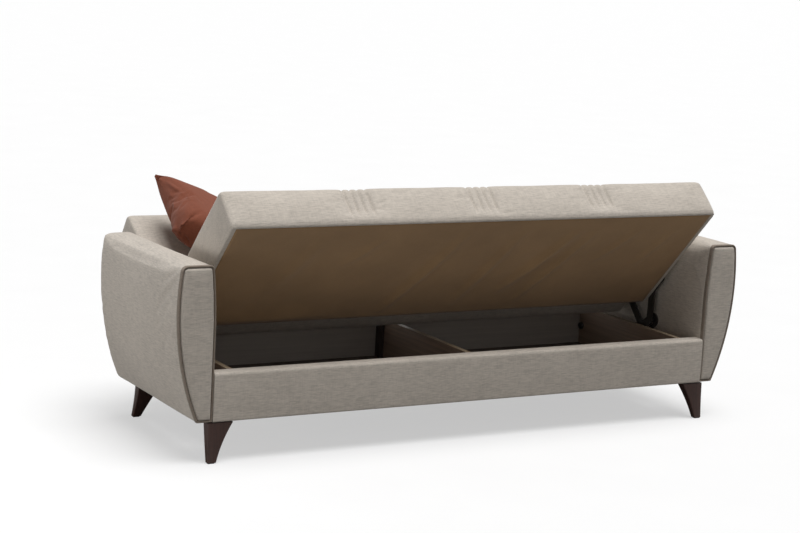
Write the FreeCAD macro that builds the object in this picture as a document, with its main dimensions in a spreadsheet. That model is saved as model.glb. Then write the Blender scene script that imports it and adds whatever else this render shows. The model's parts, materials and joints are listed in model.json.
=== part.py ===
"""Storage sofa bed: a seat that lifts over a storage box, and a back that folds flat to make a bed.

Millimetres, +Z up, X along the sofa, -Y the front. The origin is on the floor, under the middle of
the sofa as it stands open. Seat and back are modelled lying flat, as a bed, and are then turned to
the open position: the back up by its sofa angle about its hinge pins, and both about the lift axis.
"""
import FreeCAD, Part
import math
import os

import Sketcher

SIZES = {
    # Base
    "inner_half": (940, "half the length between the arms"),
    "leg_height": (129.5, "floor to the underside of the base"),
    "rail_top": (285, "floor to the top of the front rail"),
    "rail_pad": (32, "foam and cover on the front rail"),
    "rail_round": (11, "rounding of the padded rail"),
    "rail_lip": (10, "cover over the top of the rail's board"),
    "board": (18, "thickness of the wooden boards"),
    "base_depth": (658, "front of the rail to the rear of the base"),
    "side_gap": (62, "arm to side board, where the mechanism runs"),
    "board_drop": (1, "top of the rail to the top of the inner boards"),
    "post_width": (44, "width of the post behind the divider"),
    "post_depth": (38, "depth of the post behind the divider"),
    "floor_panel": (4, "thickness of the storage box floor"),
    "floor_lift": (12, "underside of the base to the underside of the box floor"),
    "batten_width": (60, "width of a batten under the box floor"),
    "batten_pitch": (420, "spacing of the battens under the box floor"),
    "block_depth": (60, "length of a corner block along Y"),
    "block_height": (60, "height of a corner block"),
    "rest_pad": (2.6, "height of the felt pads under the closed seat"),
    "rest_pad_length": (70, "length of a felt pad"),
    "rest_pad_width": (12, "width of a felt pad"),
    "rest_pad_place": (620, "middle of the sofa to a felt pad"),
    "rear_cover": (3, "cloth covered sheet on the rear board"),
    "soft_gap": (0.3, "clearance of a soft part from what it faces"),
    # Legs
    "leg_out": (15, "inner side of an arm to the outer side of a leg"),
    "leg_width": (67, "width of a leg at its top"),
    "leg_depth": (38, "depth of a leg at its top"),
    "knee_width": (43, "width of a leg halfway down"),
    "knee_depth": (29, "depth of a leg halfway down"),
    "knee_height": (64, "floor to the middle of a leg's curve"),
    "foot_width": (27, "width of a leg at its foot"),
    "foot_depth": (20, "depth of a leg at its foot"),
    "front_leg": (3, "front of the rail to the front of a leg at its top"),
    "front_splay": (8, "how far a front foot stands forward"),
    "front_knee_splay": (3, "how far the middle of a front leg stands forward"),
    "rear_leg": (70, "rear of the base to the rear of a leg at its top"),
    "rear_splay": (28, "how far a rear foot stands back"),
    "rear_knee_splay": (9, "how far the middle of a rear leg stands back"),
    "leg_plate": (3, "thickness of a leg's steel plate"),
    "plate_margin": (5, "edge of a leg to the edge of its plate"),
    "glide": (3, "thickness of a foot glide"),
    "glide_margin": (3, "edge of a foot to the edge of its glide"),
    # Arms
    "arm_top": (620, "floor to the top of an arm"),
    "arm_belly": (128, "greatest width of an arm"),
    "arm_belly_height": (353, "underside of the base to an arm's greatest width"),
    "arm_side_radius": (877.6, "radius of an arm's outer side"),
    "arm_flare_start": (400, "floor to the start of the inner side's lean"),
    "arm_flare_radius": (1820, "radius of the inner side's lean"),
    "arm_inner_round": (16, "rounding of an arm's inner top corner"),
    "arm_outer_round": (21, "rounding of an arm's outer top corner"),
    "arm_rear_bevel": (8, "bevel of an arm's rear edge"),
    "arm_front_set": (10, "front of an arm's panel to the front of its padded sides"),
    "piping": (6, "thickness of the piping round an arm's front"),
    "piping_round": (2, "bevel of the piping's outer edge"),
    "panel_inset": (13, "edge of an arm to the edge of its front panel"),
    "panel_round": (2.2, "bevel of the front panel's edge"),
    "no_inset": (0, "the arm's own outline"),
    "arm_board_place": (30, "front and rear of an arm to its inner board"),
    "arm_board_cover": (4, "padding on the inner side of an arm's board"),
    "arm_board_drop": (190, "top of an arm to the top of its board"),
    "arm_bolt": (5, "radius of an arm bolt"),
    "arm_bolt_cap": (12.5, "radius of the cap on an arm bolt"),
    "arm_bolt_cap_thick": (7, "height of the cap on an arm bolt"),
    "arm_bolt_height": (83, "underside of the base to an arm bolt"),
    "arm_bolt_place": (15, "rear board or rail to an arm bolt"),
    "bolt_clearance": (0.2, "clearance round bolts and screws"),
    # Seat, lying flat
    "seat_gap": (23, "arm to the end of seat and back, where the hinge plates run"),
    "seat_front": (-10, "front of the rail to the front of the closed seat"),
    "seat_short": (128, "depth of the base less the depth of the seat"),
    "seat_low": (287.9, "floor to the underside of the closed seat"),
    "seat_thick": (147, "thickness of the seat at its edge"),
    "top_crown": (10, "how far the top of seat and back swells"),
    "front_crown": (8, "how far the front of seat and back swells"),
    "top_round": (28, "rounding of the top edges of seat and back"),
    "low_round": (8, "rounding of the seat's lower edges"),
    "end_draw": (13, "how far the ends of a cushion draw in"),
    "end_round": (30, "length of the rounding at the ends of a cushion"),
    "seam_pitch": (27, "spacing of the seams in a sewn channel group"),
    "seam_depth": (7, "depth of a seam"),
    "seam_width": (5, "half the width of a seam"),
    # Back, lying flat behind the seat
    "bed_gap": (12, "seat to back when flat"),
    "back_rise": (412, "length of the back above the seat"),
    "back_tuck": (70, "length of the back below the seat's top"),
    "back_behind": (30, "rear of the seat to the back's face at the seat's top, upright"),
    "back_thick": (127, "thickness of the back at its edge"),
    "back_foot_round": (30, "rounding of the back's lower rear edge"),
    "back_head_round": (50, "rounding of the back's upper rear edge"),
    # Frames in the cushions
    "frame_margin": (34, "edge of a cushion to its frame"),
    "frame_wide": (48, "width of a frame's rails"),
    "frame_thick": (24, "thickness of a frame's rails"),
    "webbing": (2, "thickness of the webbing"),
    "web_width": (60, "width of a web"),
    "web_pitch": (290, "spacing of the webs"),
    "lining": (1.5, "thickness of the cloth under seat and back"),
    "lining_margin": (37, "edge of a cushion to its lining"),
    # Motion
    "open_front": (-40.6, "front of the rail to the lower front edge of the open seat"),
    "open_rear_height": (355.9, "floor to the lower rear edge of the open seat"),
    "open_tilt": (47, "tilt of the open seat, in degrees"),
    "back_tilt": (80, "tilt of the upright back above the seat, in degrees"),
    # Mechanism
    "plate": (4, "thickness of the hinge plates"),
    "plate_gap": (0.6, "running gap between moving plates"),
    "link_half": (16, "half the width of a hinge plate's arms"),
    "track_radius": (330, "lift axis to the middle of the curved track"),
    "track_plate": (4.5, "thickness of the curved track"),
    "track_wall": (14, "width of the track beside its slot"),
    "roller": (11, "radius of a track roller"),
    "roller_gap": (0.5, "clearance of a roller in its slot"),
    "roller_stem": (6, "radius of a roller's stem"),
    "rear_roller_place": (47.4, "rear board to the rear roller, seat closed"),
    "roller_angle": (9, "angle between the rollers at the lift axis, in degrees"),
    "hinge_pin": (7, "radius of a hinge pin"),
    "pin_clearance": (0.08, "running clearance round a hinge pin"),
    "pin_head": (11, "radius of a hinge pin's head"),
    "pin_head_thick": (2, "height of a hinge pin's head"),
    "housing": (30, "radius of the ratchet housing on a hinge"),
    "housing_thick": (6, "thickness of the ratchet housing"),
    "plate_bolt": (5, "radius of a hinge plate's bolts"),
    "plate_bolt_head": (9, "radius of a hinge plate bolt's head"),
    "plate_bolt_head_thick": (3, "height of a hinge plate bolt's head"),
    "plate_bolt_grip": (60, "length of a hinge plate bolt in its cushion"),
    "seat_bolt_place": (68, "rear of the seat to its rear plate bolt"),
    "plate_bolt_pitch": (70, "spacing of a hinge plate's bolts"),
    "back_bolt_place": (108, "foot of the back to its nearer plate bolt"),
    # Loose cushion
    "pillow_half": (184, "half the side of the loose cushion"),
    "pillow_thick": (64, "half the thickness of the loose cushion"),
    "pillow_edge": (1.5, "half the thickness of the loose cushion's seam"),
    "pillow_draw": (18, "how far the sides of the loose cushion draw in"),
    "pillow_x": (-723, "middle of the sofa to the loose cushion"),
    "pillow_place": (118, "rear of the base to the loose cushion"),
    "pillow_z": (682.2, "floor to the loose cushion"),
    "origin_setback": (404.2, "front of the rail to the origin"),
}

SIDES = (("left", -1), ("right", 1))
SEAM_SHARES = (-1.5, -0.5, 0.5, 1.5)
GROUP_SHARES = (-0.5, 0.0, 0.5)
PANEL_SHARES = (0.2, 0.5, 0.8)
END_SHARES = (0.0, 0.55, 0.86, 1.0)
FLAT_SHARE = 0.4
TOP_SHARES = (0.2, 0.5, 0.8)
FRONT_SHARES = (0.35, 0.65)
CORNER_STEPS = 2
PILLOW_SHARES = (-1.0, -0.97, -0.87, -0.65, -0.35, 0.0, 0.35, 0.65, 0.87, 0.97, 1.0)
WEB_SHARES = (-2, -1, 0, 1, 2)
BATTEN_SHARES = (-1.5, -0.5, 0.5, 1.5)
PILLOW_ANGLES = (-0.143, 0.568, -1.757)

doc = FreeCAD.newDocument("storage_sofa_bed")
sheet = doc.addObject("Spreadsheet::Sheet", "sizes")
NAMED = {}
SUBPARTS = []
V = FreeCAD.Vector
ALONG_X = FreeCAD.Rotation(V(0, 1, 0), 90)


def note(alias, amount, meaning):
    """Writes one size in the sheet."""
    row = len(NAMED) + 1
    sheet.set(f"A{row}", alias)
    sheet.set(f"B{row}", repr(float(amount)))
    sheet.set(f"C{row}", meaning)
    sheet.setAlias(f"B{row}", alias)
    NAMED[alias] = float(amount)


for size_name, (size_amount, size_meaning) in SIZES.items():
    note(size_name, size_amount, size_meaning)
doc.recompute()


def size(alias):
    """One size, as the sheet has it."""
    return float(getattr(sheet, alias))


def formula(words, side=1):
    """A sum of sizes as an expression on the sheet, mirrored for the left side."""
    text = " ".join("sizes." + word if word in NAMED else word for word in words.split())
    return text if side > 0 else f"-({text})"


def amount(words, side=1):
    """What a sum of sizes comes to. A term can be halved with / 2."""
    total, sign, term = 0.0, 1.0, 0.0
    for word in words.split():
        if word in ("+", "-"):
            total += sign * term
            sign, term = (1.0 if word == "+" else -1.0), 0.0
        elif word in NAMED:
            term = size(word)
        elif word == "2":
            term /= 2
    return side * (total + sign * term)


def turn_point(angle, y, z):
    """A point turned about the origin, from +Y towards +Z."""
    c, n = math.cos(angle), math.sin(angle)
    return c * y - n * z, n * y + c * z


def turning_centre(angle, start, end):
    """The point about which a turn through an angle takes start to end."""
    y, z = turn_point(angle, *start)
    dy, dz = end[0] - y, end[1] - z
    c, n = math.cos(angle), math.sin(angle)
    scale = (1 - c) ** 2 + n**2
    return ((1 - c) * dy - n * dz) / scale, (n * dy + (1 - c) * dz) / scale


note("leg_outer", amount("inner_half + leg_out"), "middle of the sofa to the outer side of a leg")
note("seat_half", amount("inner_half - seat_gap"), "half the length of seat and back")
note("seat_depth", amount("base_depth - seat_short"), "front to rear of the seat")
doc.recompute()

SEAT_REAR = "seat_front + seat_depth"
SEAT_TOP = "seat_low + seat_thick"
BACK_FRONT = SEAT_REAR + " + bed_gap"
BACK_LOW = SEAT_TOP + " - back_thick"
tilt = math.radians(size("open_tilt"))
open_height = size("open_rear_height") + size("seat_depth") * math.sin(tilt)
lift_y, lift_z = turning_centre(
    -tilt,
    (size("seat_front"), size("seat_low")),
    (size("open_front"), open_height),
)
lean = math.radians(size("back_tilt"))
upright_foot = (
    amount(SEAT_REAR + " + back_behind") - size("back_tuck") * math.cos(lean),
    amount(SEAT_TOP) - size("back_tuck") * math.sin(lean),
)
hinge_y, hinge_z = turning_centre(lean, (amount(BACK_FRONT), amount(SEAT_TOP)), upright_foot)
note("lift_y", lift_y, "front of the rail to the lift axis")
note("lift_z", lift_z, "floor to the lift axis")
note("hinge_y", hinge_y, "front of the rail to the hinge pins, seat closed")
note("hinge_z", hinge_z, "floor to the hinge pins, seat closed")
note("arm_side_x", amount("inner_half + arm_belly - arm_side_radius"), "centre of an arm's side")
note("arm_side_z", amount("leg_height + arm_belly_height"), "height of that centre")
note("arm_lean_x", amount("inner_half + arm_flare_radius"), "centre of the inner side's lean")
note("back_depth", amount("back_tuck + back_rise"), "foot to head of the back")
doc.recompute()


def home():
    """Where the base stands: it is drawn from the front of the rail."""
    return FreeCAD.Placement(V(0, -size("origin_setback"), 0), FreeCAD.Rotation())


def lifted():
    """Where the open seat stands."""
    turn = FreeCAD.Rotation(V(1, 0, 0), -size("open_tilt"))
    return home().multiply(FreeCAD.Placement(V(), turn, V(0, size("lift_y"), size("lift_z"))))


def leaning():
    """Where the upright back stands on the open seat."""
    turn = FreeCAD.Rotation(V(1, 0, 0), size("back_tilt"))
    return lifted().multiply(FreeCAD.Placement(V(), turn, V(0, size("hinge_y"), size("hinge_z"))))


def keep(obj, label, placement):
    """Names a finished sub-part, puts it in its place and lists it."""
    if obj.TypeId == "Part::Box":
        obj = group(f"{label}_piece", [obj])
    obj.Label = label
    obj.Placement = placement
    SUBPARTS.append(obj)


def box(name, x, y, z, side=1):
    """A block between two sums of sizes along each axis."""
    block = doc.addObject("Part::Box", name)
    block.setExpression("Length", formula(f"{x[1]} - ( {x[0]} )"))
    block.setExpression("Width", formula(f"{y[1]} - ( {y[0]} )"))
    block.setExpression("Height", formula(f"{z[1]} - ( {z[0]} )"))
    block.setExpression(".Placement.Base.x", formula(x[0] if side > 0 else x[1], side))
    block.setExpression(".Placement.Base.y", formula(y[0]))
    block.setExpression(".Placement.Base.z", formula(z[0]))
    return block


def rod(name, radius, x, y, z, side=1):
    """A round bar along X between two sums of sizes, at a point across it."""
    bar = doc.addObject("Part::Cylinder", name)
    bar.setExpression("Radius", formula(radius))
    bar.setExpression("Height", formula(f"{x[1]} - ( {x[0]} )"))
    bar.Placement = FreeCAD.Placement(V(0, y, z), ALONG_X)
    bar.setExpression(".Placement.Base.x", formula(x[0] if side > 0 else x[1], side))
    return bar


def hexagon(name, radius, x, y, z, side=1):
    """A six-sided bar along X between two sums of sizes, at a point across it."""
    bar = doc.addObject("Part::Prism", name)
    bar.setExpression("Circumradius", formula(radius))
    bar.setExpression("Height", formula(f"{x[1]} - ( {x[0]} )"))
    bar.Placement = FreeCAD.Placement(V(0, y, z), ALONG_X)
    bar.setExpression(".Placement.Base.x", formula(x[0] if side > 0 else x[1], side))
    return bar


def taper(name, low, high, side):
    """A tapered length between two level rectangles, each an x range, a y range and a height."""
    wedge = doc.addObject("Part::Wedge", name)
    for (x, y, z), number, end in ((low, "", "min"), (high, "2", "max")):
        wedge.setExpression(f"X{number}min", formula(x[0] if side > 0 else x[1], side))
        wedge.setExpression(f"X{number}max", formula(x[1] if side > 0 else x[0], side))
        wedge.setExpression(f"Z{number}min", formula(y[1], -1))
        wedge.setExpression(f"Z{number}max", formula(y[0], -1))
        wedge.setExpression(f"Y{end}", formula(z))
    wedge.Placement = FreeCAD.Placement(V(), FreeCAD.Rotation(V(1, 0, 0), 90))
    return wedge


def link(name, start, end, half, x, side):
    """A flat bar with round ends between two points of the mechanism."""
    dy, dz = end[0] - start[0], end[1] - start[1]
    slope = FreeCAD.Rotation(V(1, 0, 0), math.degrees(math.atan2(dz, dy)))
    low = amount(x[0] if side > 0 else x[1], side)
    bar = doc.addObject("Part::Box", name)
    bar.setExpression("Length", formula(f"{x[1]} - ( {x[0]} )"))
    bar.setExpression("Height", formula(f"{half} + {half}"))
    bar.Width = math.hypot(dy, dz)
    corner = slope.multVec(V(0, 0, -size(half)))
    bar.Placement = FreeCAD.Placement(V(low, start[0], start[1]) + corner, slope)
    ends = [rod(name + "_end", half, x, point[0], point[1], side) for point in (start, end)]
    return [bar] + ends


def sector(name, radius, x, start, end, side):
    """A slice of a disc about the lift axis, between two angles below it."""
    disc = doc.addObject("Part::Cylinder", name)
    disc.setExpression("Radius", formula(radius))
    disc.setExpression("Height", formula(f"{x[1]} - ( {x[0]} )"))
    disc.Angle = end - start
    spin = FreeCAD.Rotation(V(1, 0, 0), -end).multiply(FreeCAD.Rotation(V(1, 1, 1), 120))
    low = amount(x[0] if side > 0 else x[1], side)
    disc.Placement = FreeCAD.Placement(V(low, size("lift_y"), size("lift_z")), spin)
    return disc


def group(name, members):
    """Several separate solids as one object."""
    compound = doc.addObject("Part::Compound", name)
    compound.Links = members
    return compound


def joined(name, members):
    """Several touching or overlapping solids as one solid."""
    fusion = doc.addObject("Part::MultiFuse", name)
    fusion.Shapes = members
    fusion.Refine = True
    return fusion


def cut(name, base, tool):
    """One solid less another."""
    rest = doc.addObject("Part::Cut", name)
    rest.Base = base
    rest.Tool = tool
    rest.Refine = base.TypeId != "Part::Feature"
    return rest


def formed(name, shape):
    """A soft form, whose surfaces no sketch or primitive gives."""
    feature = doc.addObject("Part::Feature", name)
    feature.Shape = shape
    return feature


def sketch_on(body, role, name, offset):
    """An empty sketch on a base plane of its own body, moved along the plane's normal."""
    sketch = body.newObject("Sketcher::SketchObject", name)
    plane = next(o for o in body.Origin.OriginFeatures if o.Role == role)
    sketch.AttachmentSupport = [(plane, "")]
    sketch.MapMode = "FlatFace"
    sketch.setExpression(".AttachmentOffset.Base.z", formula(offset))
    return sketch


def hold(sketch, kind, where, words, side=1):
    """A dimension in a sketch, bound to the sheet."""
    index = sketch.addConstraint(Sketcher.Constraint(kind, *where, amount(words, side)))
    sketch.setExpression(f"Constraints[{index}]", formula(words, side))


def hold_point(sketch, piece, end, u, w, side=1):
    """Both coordinates of a point in a sketch, bound to the sheet."""
    hold(sketch, "DistanceX", (-1, 1, piece, end), u, side)
    hold(sketch, "DistanceY", (-1, 1, piece, end), w)


def outline(sketch, points, side=1):
    """A closed outline through given points. A point with a radius starts an outward arc."""
    rounds = {i: point[2] for i, point in enumerate(points) if len(point) > 2}
    at = [V(amount(point[0], side), amount(point[1]), 0) for point in points]
    for i, start in enumerate(at):
        end = at[(i + 1) % len(at)]
        if i in rounds:
            radius = amount(rounds[i])
            chord = end - start
            outward = V(chord.y, -chord.x, 0).normalize()
            rise = radius - math.sqrt(radius**2 - (chord.Length / 2) ** 2)
            sketch.addGeometry(Part.Arc(start, (start + end) / 2 + outward * rise, end), False)
        else:
            sketch.addGeometry(Part.LineSegment(start, end), False)
    for i in range(len(at)):
        after = (i + 1) % len(at)
        last = end_of(sketch, i, at[after])
        first = end_of(sketch, after, at[after])
        sketch.addConstraint(Sketcher.Constraint("Coincident", i, last, after, first))
    for i, point in enumerate(points):
        hold_point(sketch, i, end_of(sketch, i, at[i]), point[0], point[1], side)
    for i, radius in rounds.items():
        hold(sketch, "Radius", (i,), radius)


def end_of(sketch, piece, point):
    """Which end of a line or arc in a sketch lies at a point."""
    gap = [(sketch.getPoint(piece, end) - point).Length for end in (1, 2)]
    return 1 if gap[0] < gap[1] else 2


def pad(body, sketch, name, length):
    """Pads a sketch to a solid."""
    feature = body.newObject("PartDesign::Pad", name)
    feature.Profile = sketch
    feature.setExpression("Length", formula(length))
    doc.recompute()
    return feature


def bevelled(body, feature, name, bevel, wanted):
    """Bevels the edges of a feature for which wanted holds."""
    names = [f"Edge{i}" for i, edge in enumerate(feature.Shape.Edges, start=1) if wanted(edge)]
    chamfer = body.newObject("PartDesign::Chamfer", name)
    chamfer.Base = (feature, names)
    chamfer.setExpression("Size", formula(bevel))
    doc.recompute()
    return chamfer


def arm_outline(sketch, inset, side):
    """An arm seen from the front: a bowed outer side, rounded top corners, and an inner side that
    leans out towards the top. The inset keeps an even margin all round."""
    d = size(inset)
    base, top = size("leg_height") + d, size("arm_top") - d
    outer = V(size("arm_side_x"), size("arm_side_z"), 0)
    inner = V(size("arm_lean_x"), size("arm_flare_start"), 0)
    outer_r, inner_r = size("arm_side_radius") - d, size("arm_flare_radius") - d
    round_o, round_i = size("arm_outer_round"), size("arm_inner_round")
    z_o, z_i = size("arm_top") - round_o, size("arm_top") - round_i
    reach_o = math.sqrt((size("arm_side_radius") - round_o) ** 2 - (z_o - outer.y) ** 2)
    reach_i = math.sqrt((size("arm_flare_radius") - round_i) ** 2 - (z_i - inner.y) ** 2)
    corner_o = V(outer.x + reach_o, z_o, 0)
    corner_i = V(inner.x - reach_i, z_i, 0)
    inner_x = size("inner_half") + d
    foot = V(outer.x + math.sqrt(outer_r**2 - (base - outer.y) ** 2), base, 0)
    meet_o = outer + (corner_o - outer).normalize() * outer_r
    meet_i = inner + (corner_i - inner).normalize() * inner_r
    top_o, top_i = V(corner_o.x, top, 0), V(corner_i.x, top, 0)
    start, lean_at = V(inner_x, base, 0), V(inner_x, inner.y, 0)
    run = [
        ("line", start, lean_at, None),
        ("arc", lean_at, meet_i, (inner, inner_r)),
        ("arc", meet_i, top_i, (corner_i, round_i - d)),
        ("line", top_i, top_o, None),
        ("arc", top_o, meet_o, (corner_o, round_o - d)),
        ("arc", meet_o, foot, (outer, outer_r)),
        ("line", foot, start, None),
    ]
    mirror = [V(side * p.x, p.y, 0) for _, p, _, _ in run] + [V(side * start.x, start.y, 0)]
    for i, (kind, first, last, circle) in enumerate(run):
        a, b = mirror[i], mirror[i + 1]
        if kind == "line":
            sketch.addGeometry(Part.LineSegment(a, b), False)
            continue
        centre = V(side * circle[0].x, circle[0].y, 0)
        toward = ((a - centre).normalize() + (b - centre).normalize()).normalize()
        sketch.addGeometry(Part.Arc(a, centre + toward * circle[1], b), False)
    ends = [(end_of(sketch, i, mirror[i]), end_of(sketch, i, mirror[i + 1])) for i in range(len(run))]
    for i in range(len(run) - 1):
        kind = "Coincident" if i == len(run) - 2 else "Tangent"
        sketch.addConstraint(Sketcher.Constraint(kind, i, ends[i][1], i + 1, ends[i + 1][0]))
    sketch.addConstraint(Sketcher.Constraint("Vertical", 0))
    sketch.addConstraint(Sketcher.Constraint("Horizontal", 3))
    last = len(run) - 1
    sketch.addConstraint(Sketcher.Constraint("Coincident", last, ends[last][1], 0, ends[0][0]))
    hold_point(sketch, 0, ends[0][0], f"inner_half + {inset}", f"leg_height + {inset}", side)
    hold(sketch, "DistanceY", (-1, 1, 5, ends[5][1]), f"leg_height + {inset}")
    hold(sketch, "DistanceY", (-1, 1, 3, ends[3][0]), f"arm_top - {inset}")
    hold(sketch, "DistanceY", (-1, 1, 1, 3), "arm_flare_start")
    hold_point(sketch, 5, 3, "arm_side_x", "arm_side_z", side)
    hold(sketch, "Radius", (1,), f"arm_flare_radius - {inset}")
    hold(sketch, "Radius", (2,), f"arm_inner_round - {inset}")
    hold(sketch, "Radius", (4,), f"arm_outer_round - {inset}")
    hold(sketch, "Radius", (5,), f"arm_side_radius - {inset}")


def cushion_section(x, inset, crown, front, low, depth, thick, rounds):
    """The outline of a cushion across its length, through its rounded corners: front-low, rear-low,
    rear-top and front-top. The top and the front swell between them."""
    y0, y1, z0, z1 = front + inset, front + depth - inset, low, low + thick - inset
    front_low, rear_low, rear_top, front_top = rounds
    points = []

    def corner(y, z, radius, start):
        for step in range(CORNER_STEPS + 1):
            angle = start + math.pi / 2 * step / CORNER_STEPS
            points.append(V(x, y + radius * math.cos(angle), z + radius * math.sin(angle)))

    corner(y0 + front_low, z0 + front_low, front_low, math.pi)
    corner(y1 - rear_low, z0 + rear_low, rear_low, -math.pi / 2)
    corner(y1 - rear_top, z1 - rear_top, rear_top, 0)
    for share in TOP_SHARES:
        y = y1 - rear_top + (y0 + front_top - y1 + rear_top) * share
        points.append(V(x, y, z1 + size("top_crown") * crown * 4 * share * (1 - share)))
    corner(y0 + front_top, z1 - front_top, front_top, math.pi / 2)
    for share in FRONT_SHARES:
        z = z1 - front_top + (z0 + front_low - z1 + front_top) * share
        points.append(V(x, y0 - size("front_crown") * crown * 4 * share * (1 - share), z))
    return Part.makePolygon(points + points[:1])


def cushion_stations():
    """Places along a cushion: where, how far it draws in there, and the share of its swell."""
    half, width = size("seat_half"), size("seam_width")
    seams = [
        share * half + offset * size("seam_pitch") for share in GROUP_SHARES for offset in SEAM_SHARES
    ]
    found = []
    for seam in seams:
        found.append((seam - width, 0.0, FLAT_SHARE))
        found.append((seam, size("seam_depth"), FLAT_SHARE))
        found.append((seam + width, 0.0, FLAT_SHARE))
    body_end = half - size("end_round")
    edges = sorted(x for x, _, _ in found)
    count = len(SEAM_SHARES) * 3
    panels = [(-body_end, edges[0]), (edges[-1], body_end)]
    panels += [(edges[i - 1], edges[i]) for i in range(count, len(edges), count)]
    for start, end in panels:
        for share in PANEL_SHARES:
            bulge = FLAT_SHARE + (1 - FLAT_SHARE) * math.sin(math.pi * share)
            found.append((start + (end - start) * share, 0.0, bulge))
    for share in END_SHARES:
        draw = size("end_draw") * (1 - math.sqrt(1 - share**2))
        for side in (-1, 1):
            found.append((side * (body_end + size("end_round") * share), draw, FLAT_SHARE))
    return sorted(found)


def cushion(name, front, low, depth, thick, rounds):
    """A long padded cushion with swollen panels, sewn channels and drawn-in ends."""
    across = [amount(front), amount(low), amount(depth), amount(thick), [amount(r) for r in rounds]]
    wires = [cushion_section(*station, *across) for station in cushion_stations()]
    return formed(name, Part.makeLoft(wires, True, True))


def pillow_point(u, w, way):
    """A point on the loose cushion: swollen faces whose sides draw in between pointed corners."""
    half, draw = size("pillow_half"), size("pillow_draw")
    edge, rise = size("pillow_edge"), size("pillow_thick") - size("pillow_edge")
    height = edge + rise * math.sqrt((1 - u**2) * (1 - w**2))
    return V(u * (half - draw * (1 - w**2)), w * (half - draw * (1 - u**2)), way * height)


def pillow_form():
    """The loose cushion, closed from small flat faces."""
    cells = []
    steps = list(zip(PILLOW_SHARES, PILLOW_SHARES[1:]))
    for u0, u1 in steps:
        for w0, w1 in steps:
            for way in (-1, 1):
                cells.append([pillow_point(u, w, way) for u, w in ((u0, w0), (u1, w0), (u1, w1), (u0, w1))])
        for w in (PILLOW_SHARES[0], PILLOW_SHARES[-1]):
            cells.append([pillow_point(u, w, way) for u, way in ((u0, -1), (u1, -1), (u1, 1), (u0, 1))])
            cells.append([pillow_point(w, u, way) for u, way in ((u0, -1), (u1, -1), (u1, 1), (u0, 1))])
    faces = []
    for a, b, c, d in cells:
        faces.append(Part.Face(Part.makePolygon([a, b, c, a])))
        faces.append(Part.Face(Part.makePolygon([a, c, d, a])))
    shell = Part.makeShell(faces)
    shell.sewShape()
    return Part.makeSolid(shell)


# Front rail: a board with a padded cover over its front and top
rail_x = ("- inner_half + soft_gap", "inner_half - soft_gap")
rail_rear = "rail_pad + board + soft_gap"
inner_top = "rail_top - board_drop"
cover = doc.addObject("PartDesign::Body", "rail_cover_body")
cover_sketch = sketch_on(cover, "YZ_Plane", "rail_cover_outline", rail_x[0])
outline(cover_sketch, [
    ("rail_round", "leg_height"),
    ("rail_pad - soft_gap", "leg_height"),
    ("rail_pad - soft_gap", "rail_top - rail_lip"),
    (rail_rear, "rail_top - rail_lip"),
    (rail_rear, "rail_top - rail_lip / 2", "rail_lip / 2"),
    (rail_rear + " - rail_lip / 2", "rail_top"),
    ("rail_round", "rail_top", "rail_round"),
    ("0", "rail_top - rail_round"),
    ("0", "leg_height + rail_round", "rail_round"),
])
pad(cover, cover_sketch, "rail_cover_pad", "inner_half - soft_gap + inner_half - soft_gap")
keep(cover, "front_rail_cover", home())
keep(box("rail_board", rail_x, ("rail_pad", "rail_pad + board"),
         ("leg_height", "rail_top - rail_lip - soft_gap")), "front_rail_board", home())

# Arm bolts, from the storage box through the side boards into the arms
rear_inside = "base_depth - rear_cover - board"
side_x = ("inner_half - side_gap - board", "inner_half - side_gap")
bolt_rows = [rail_rear + " + arm_bolt_place + arm_bolt_place", rear_inside + " - arm_bolt_place"]
bolt_z = amount("leg_height + arm_bolt_height")
bolts, bolt_holes = [], {-1: [], 1: []}
for row, place in enumerate(bolt_rows):
    for side_name, side in SIDES:
        y = amount(place)
        cap_x = ("inner_half - side_gap - board - arm_bolt_cap_thick", side_x[0])
        shank_x = (side_x[0], "inner_half + arm_board_cover + board")
        hole_x = (side_x[0], "inner_half + arm_board_cover + board")
        cap = rod("bolt_cap", "arm_bolt_cap", cap_x, y, bolt_z, side)
        shank = rod("bolt_shank", "arm_bolt", shank_x, y, bolt_z, side)
        bolts.append(joined("arm_bolt_solid", [cap, shank]))
        hole = rod("bolt_hole", "arm_bolt + bolt_clearance", hole_x, y, bolt_z, side)
        bolt_holes[side].append(hole)
keep(group("arm_bolt_set", bolts), "arm_bolts", home())

# Boards of the storage box
box_y = (rail_rear, rear_inside)
for side_name, side in SIDES:
    board = box("side_board", side_x, box_y, ("leg_height", inner_top), side)
    holes = group("side_board_holes", bolt_holes[side])
    keep(cut("side_board_cut", board, holes), f"side_board_{side_name}", home())
    floor_z = ("leg_height + floor_lift", "leg_height + floor_lift + floor_panel")
    panel = box("bottom_panel", ("board / 2", side_x[0]), box_y, floor_z, side)
    keep(panel, f"bottom_panel_{side_name}", home())
keep(box("rear_board_block", rail_x, (rear_inside, "base_depth - rear_cover"),
         ("leg_height", inner_top)), "rear_board", home())
keep(box("rear_cover_sheet", rail_x, ("base_depth - rear_cover", "base_depth"),
         ("leg_height", inner_top)), "rear_panel_cover", home())
post_front = rear_inside + " - post_depth"
keep(box("divider_board", ("- board / 2", "board / 2"), (rail_rear, post_front),
         ("leg_height", inner_top)), "centre_divider", home())
keep(box("divider_post_block", ("- post_width / 2", "post_width / 2"), (post_front, rear_inside),
         ("leg_height + floor_lift + floor_panel", inner_top)), "divider_post", home())
battens = []
for share in BATTEN_SHARES:
    batten = box("batten", ("- batten_width / 2", "batten_width / 2"), box_y,
                 ("leg_height", "leg_height + floor_lift"))
    place = f"{share} * sizes.batten_pitch - sizes.batten_width / 2"
    batten.setExpression(".Placement.Base.x", place)
    battens.append(batten)
keep(group("batten_set", battens), "bottom_battens", home())
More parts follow.
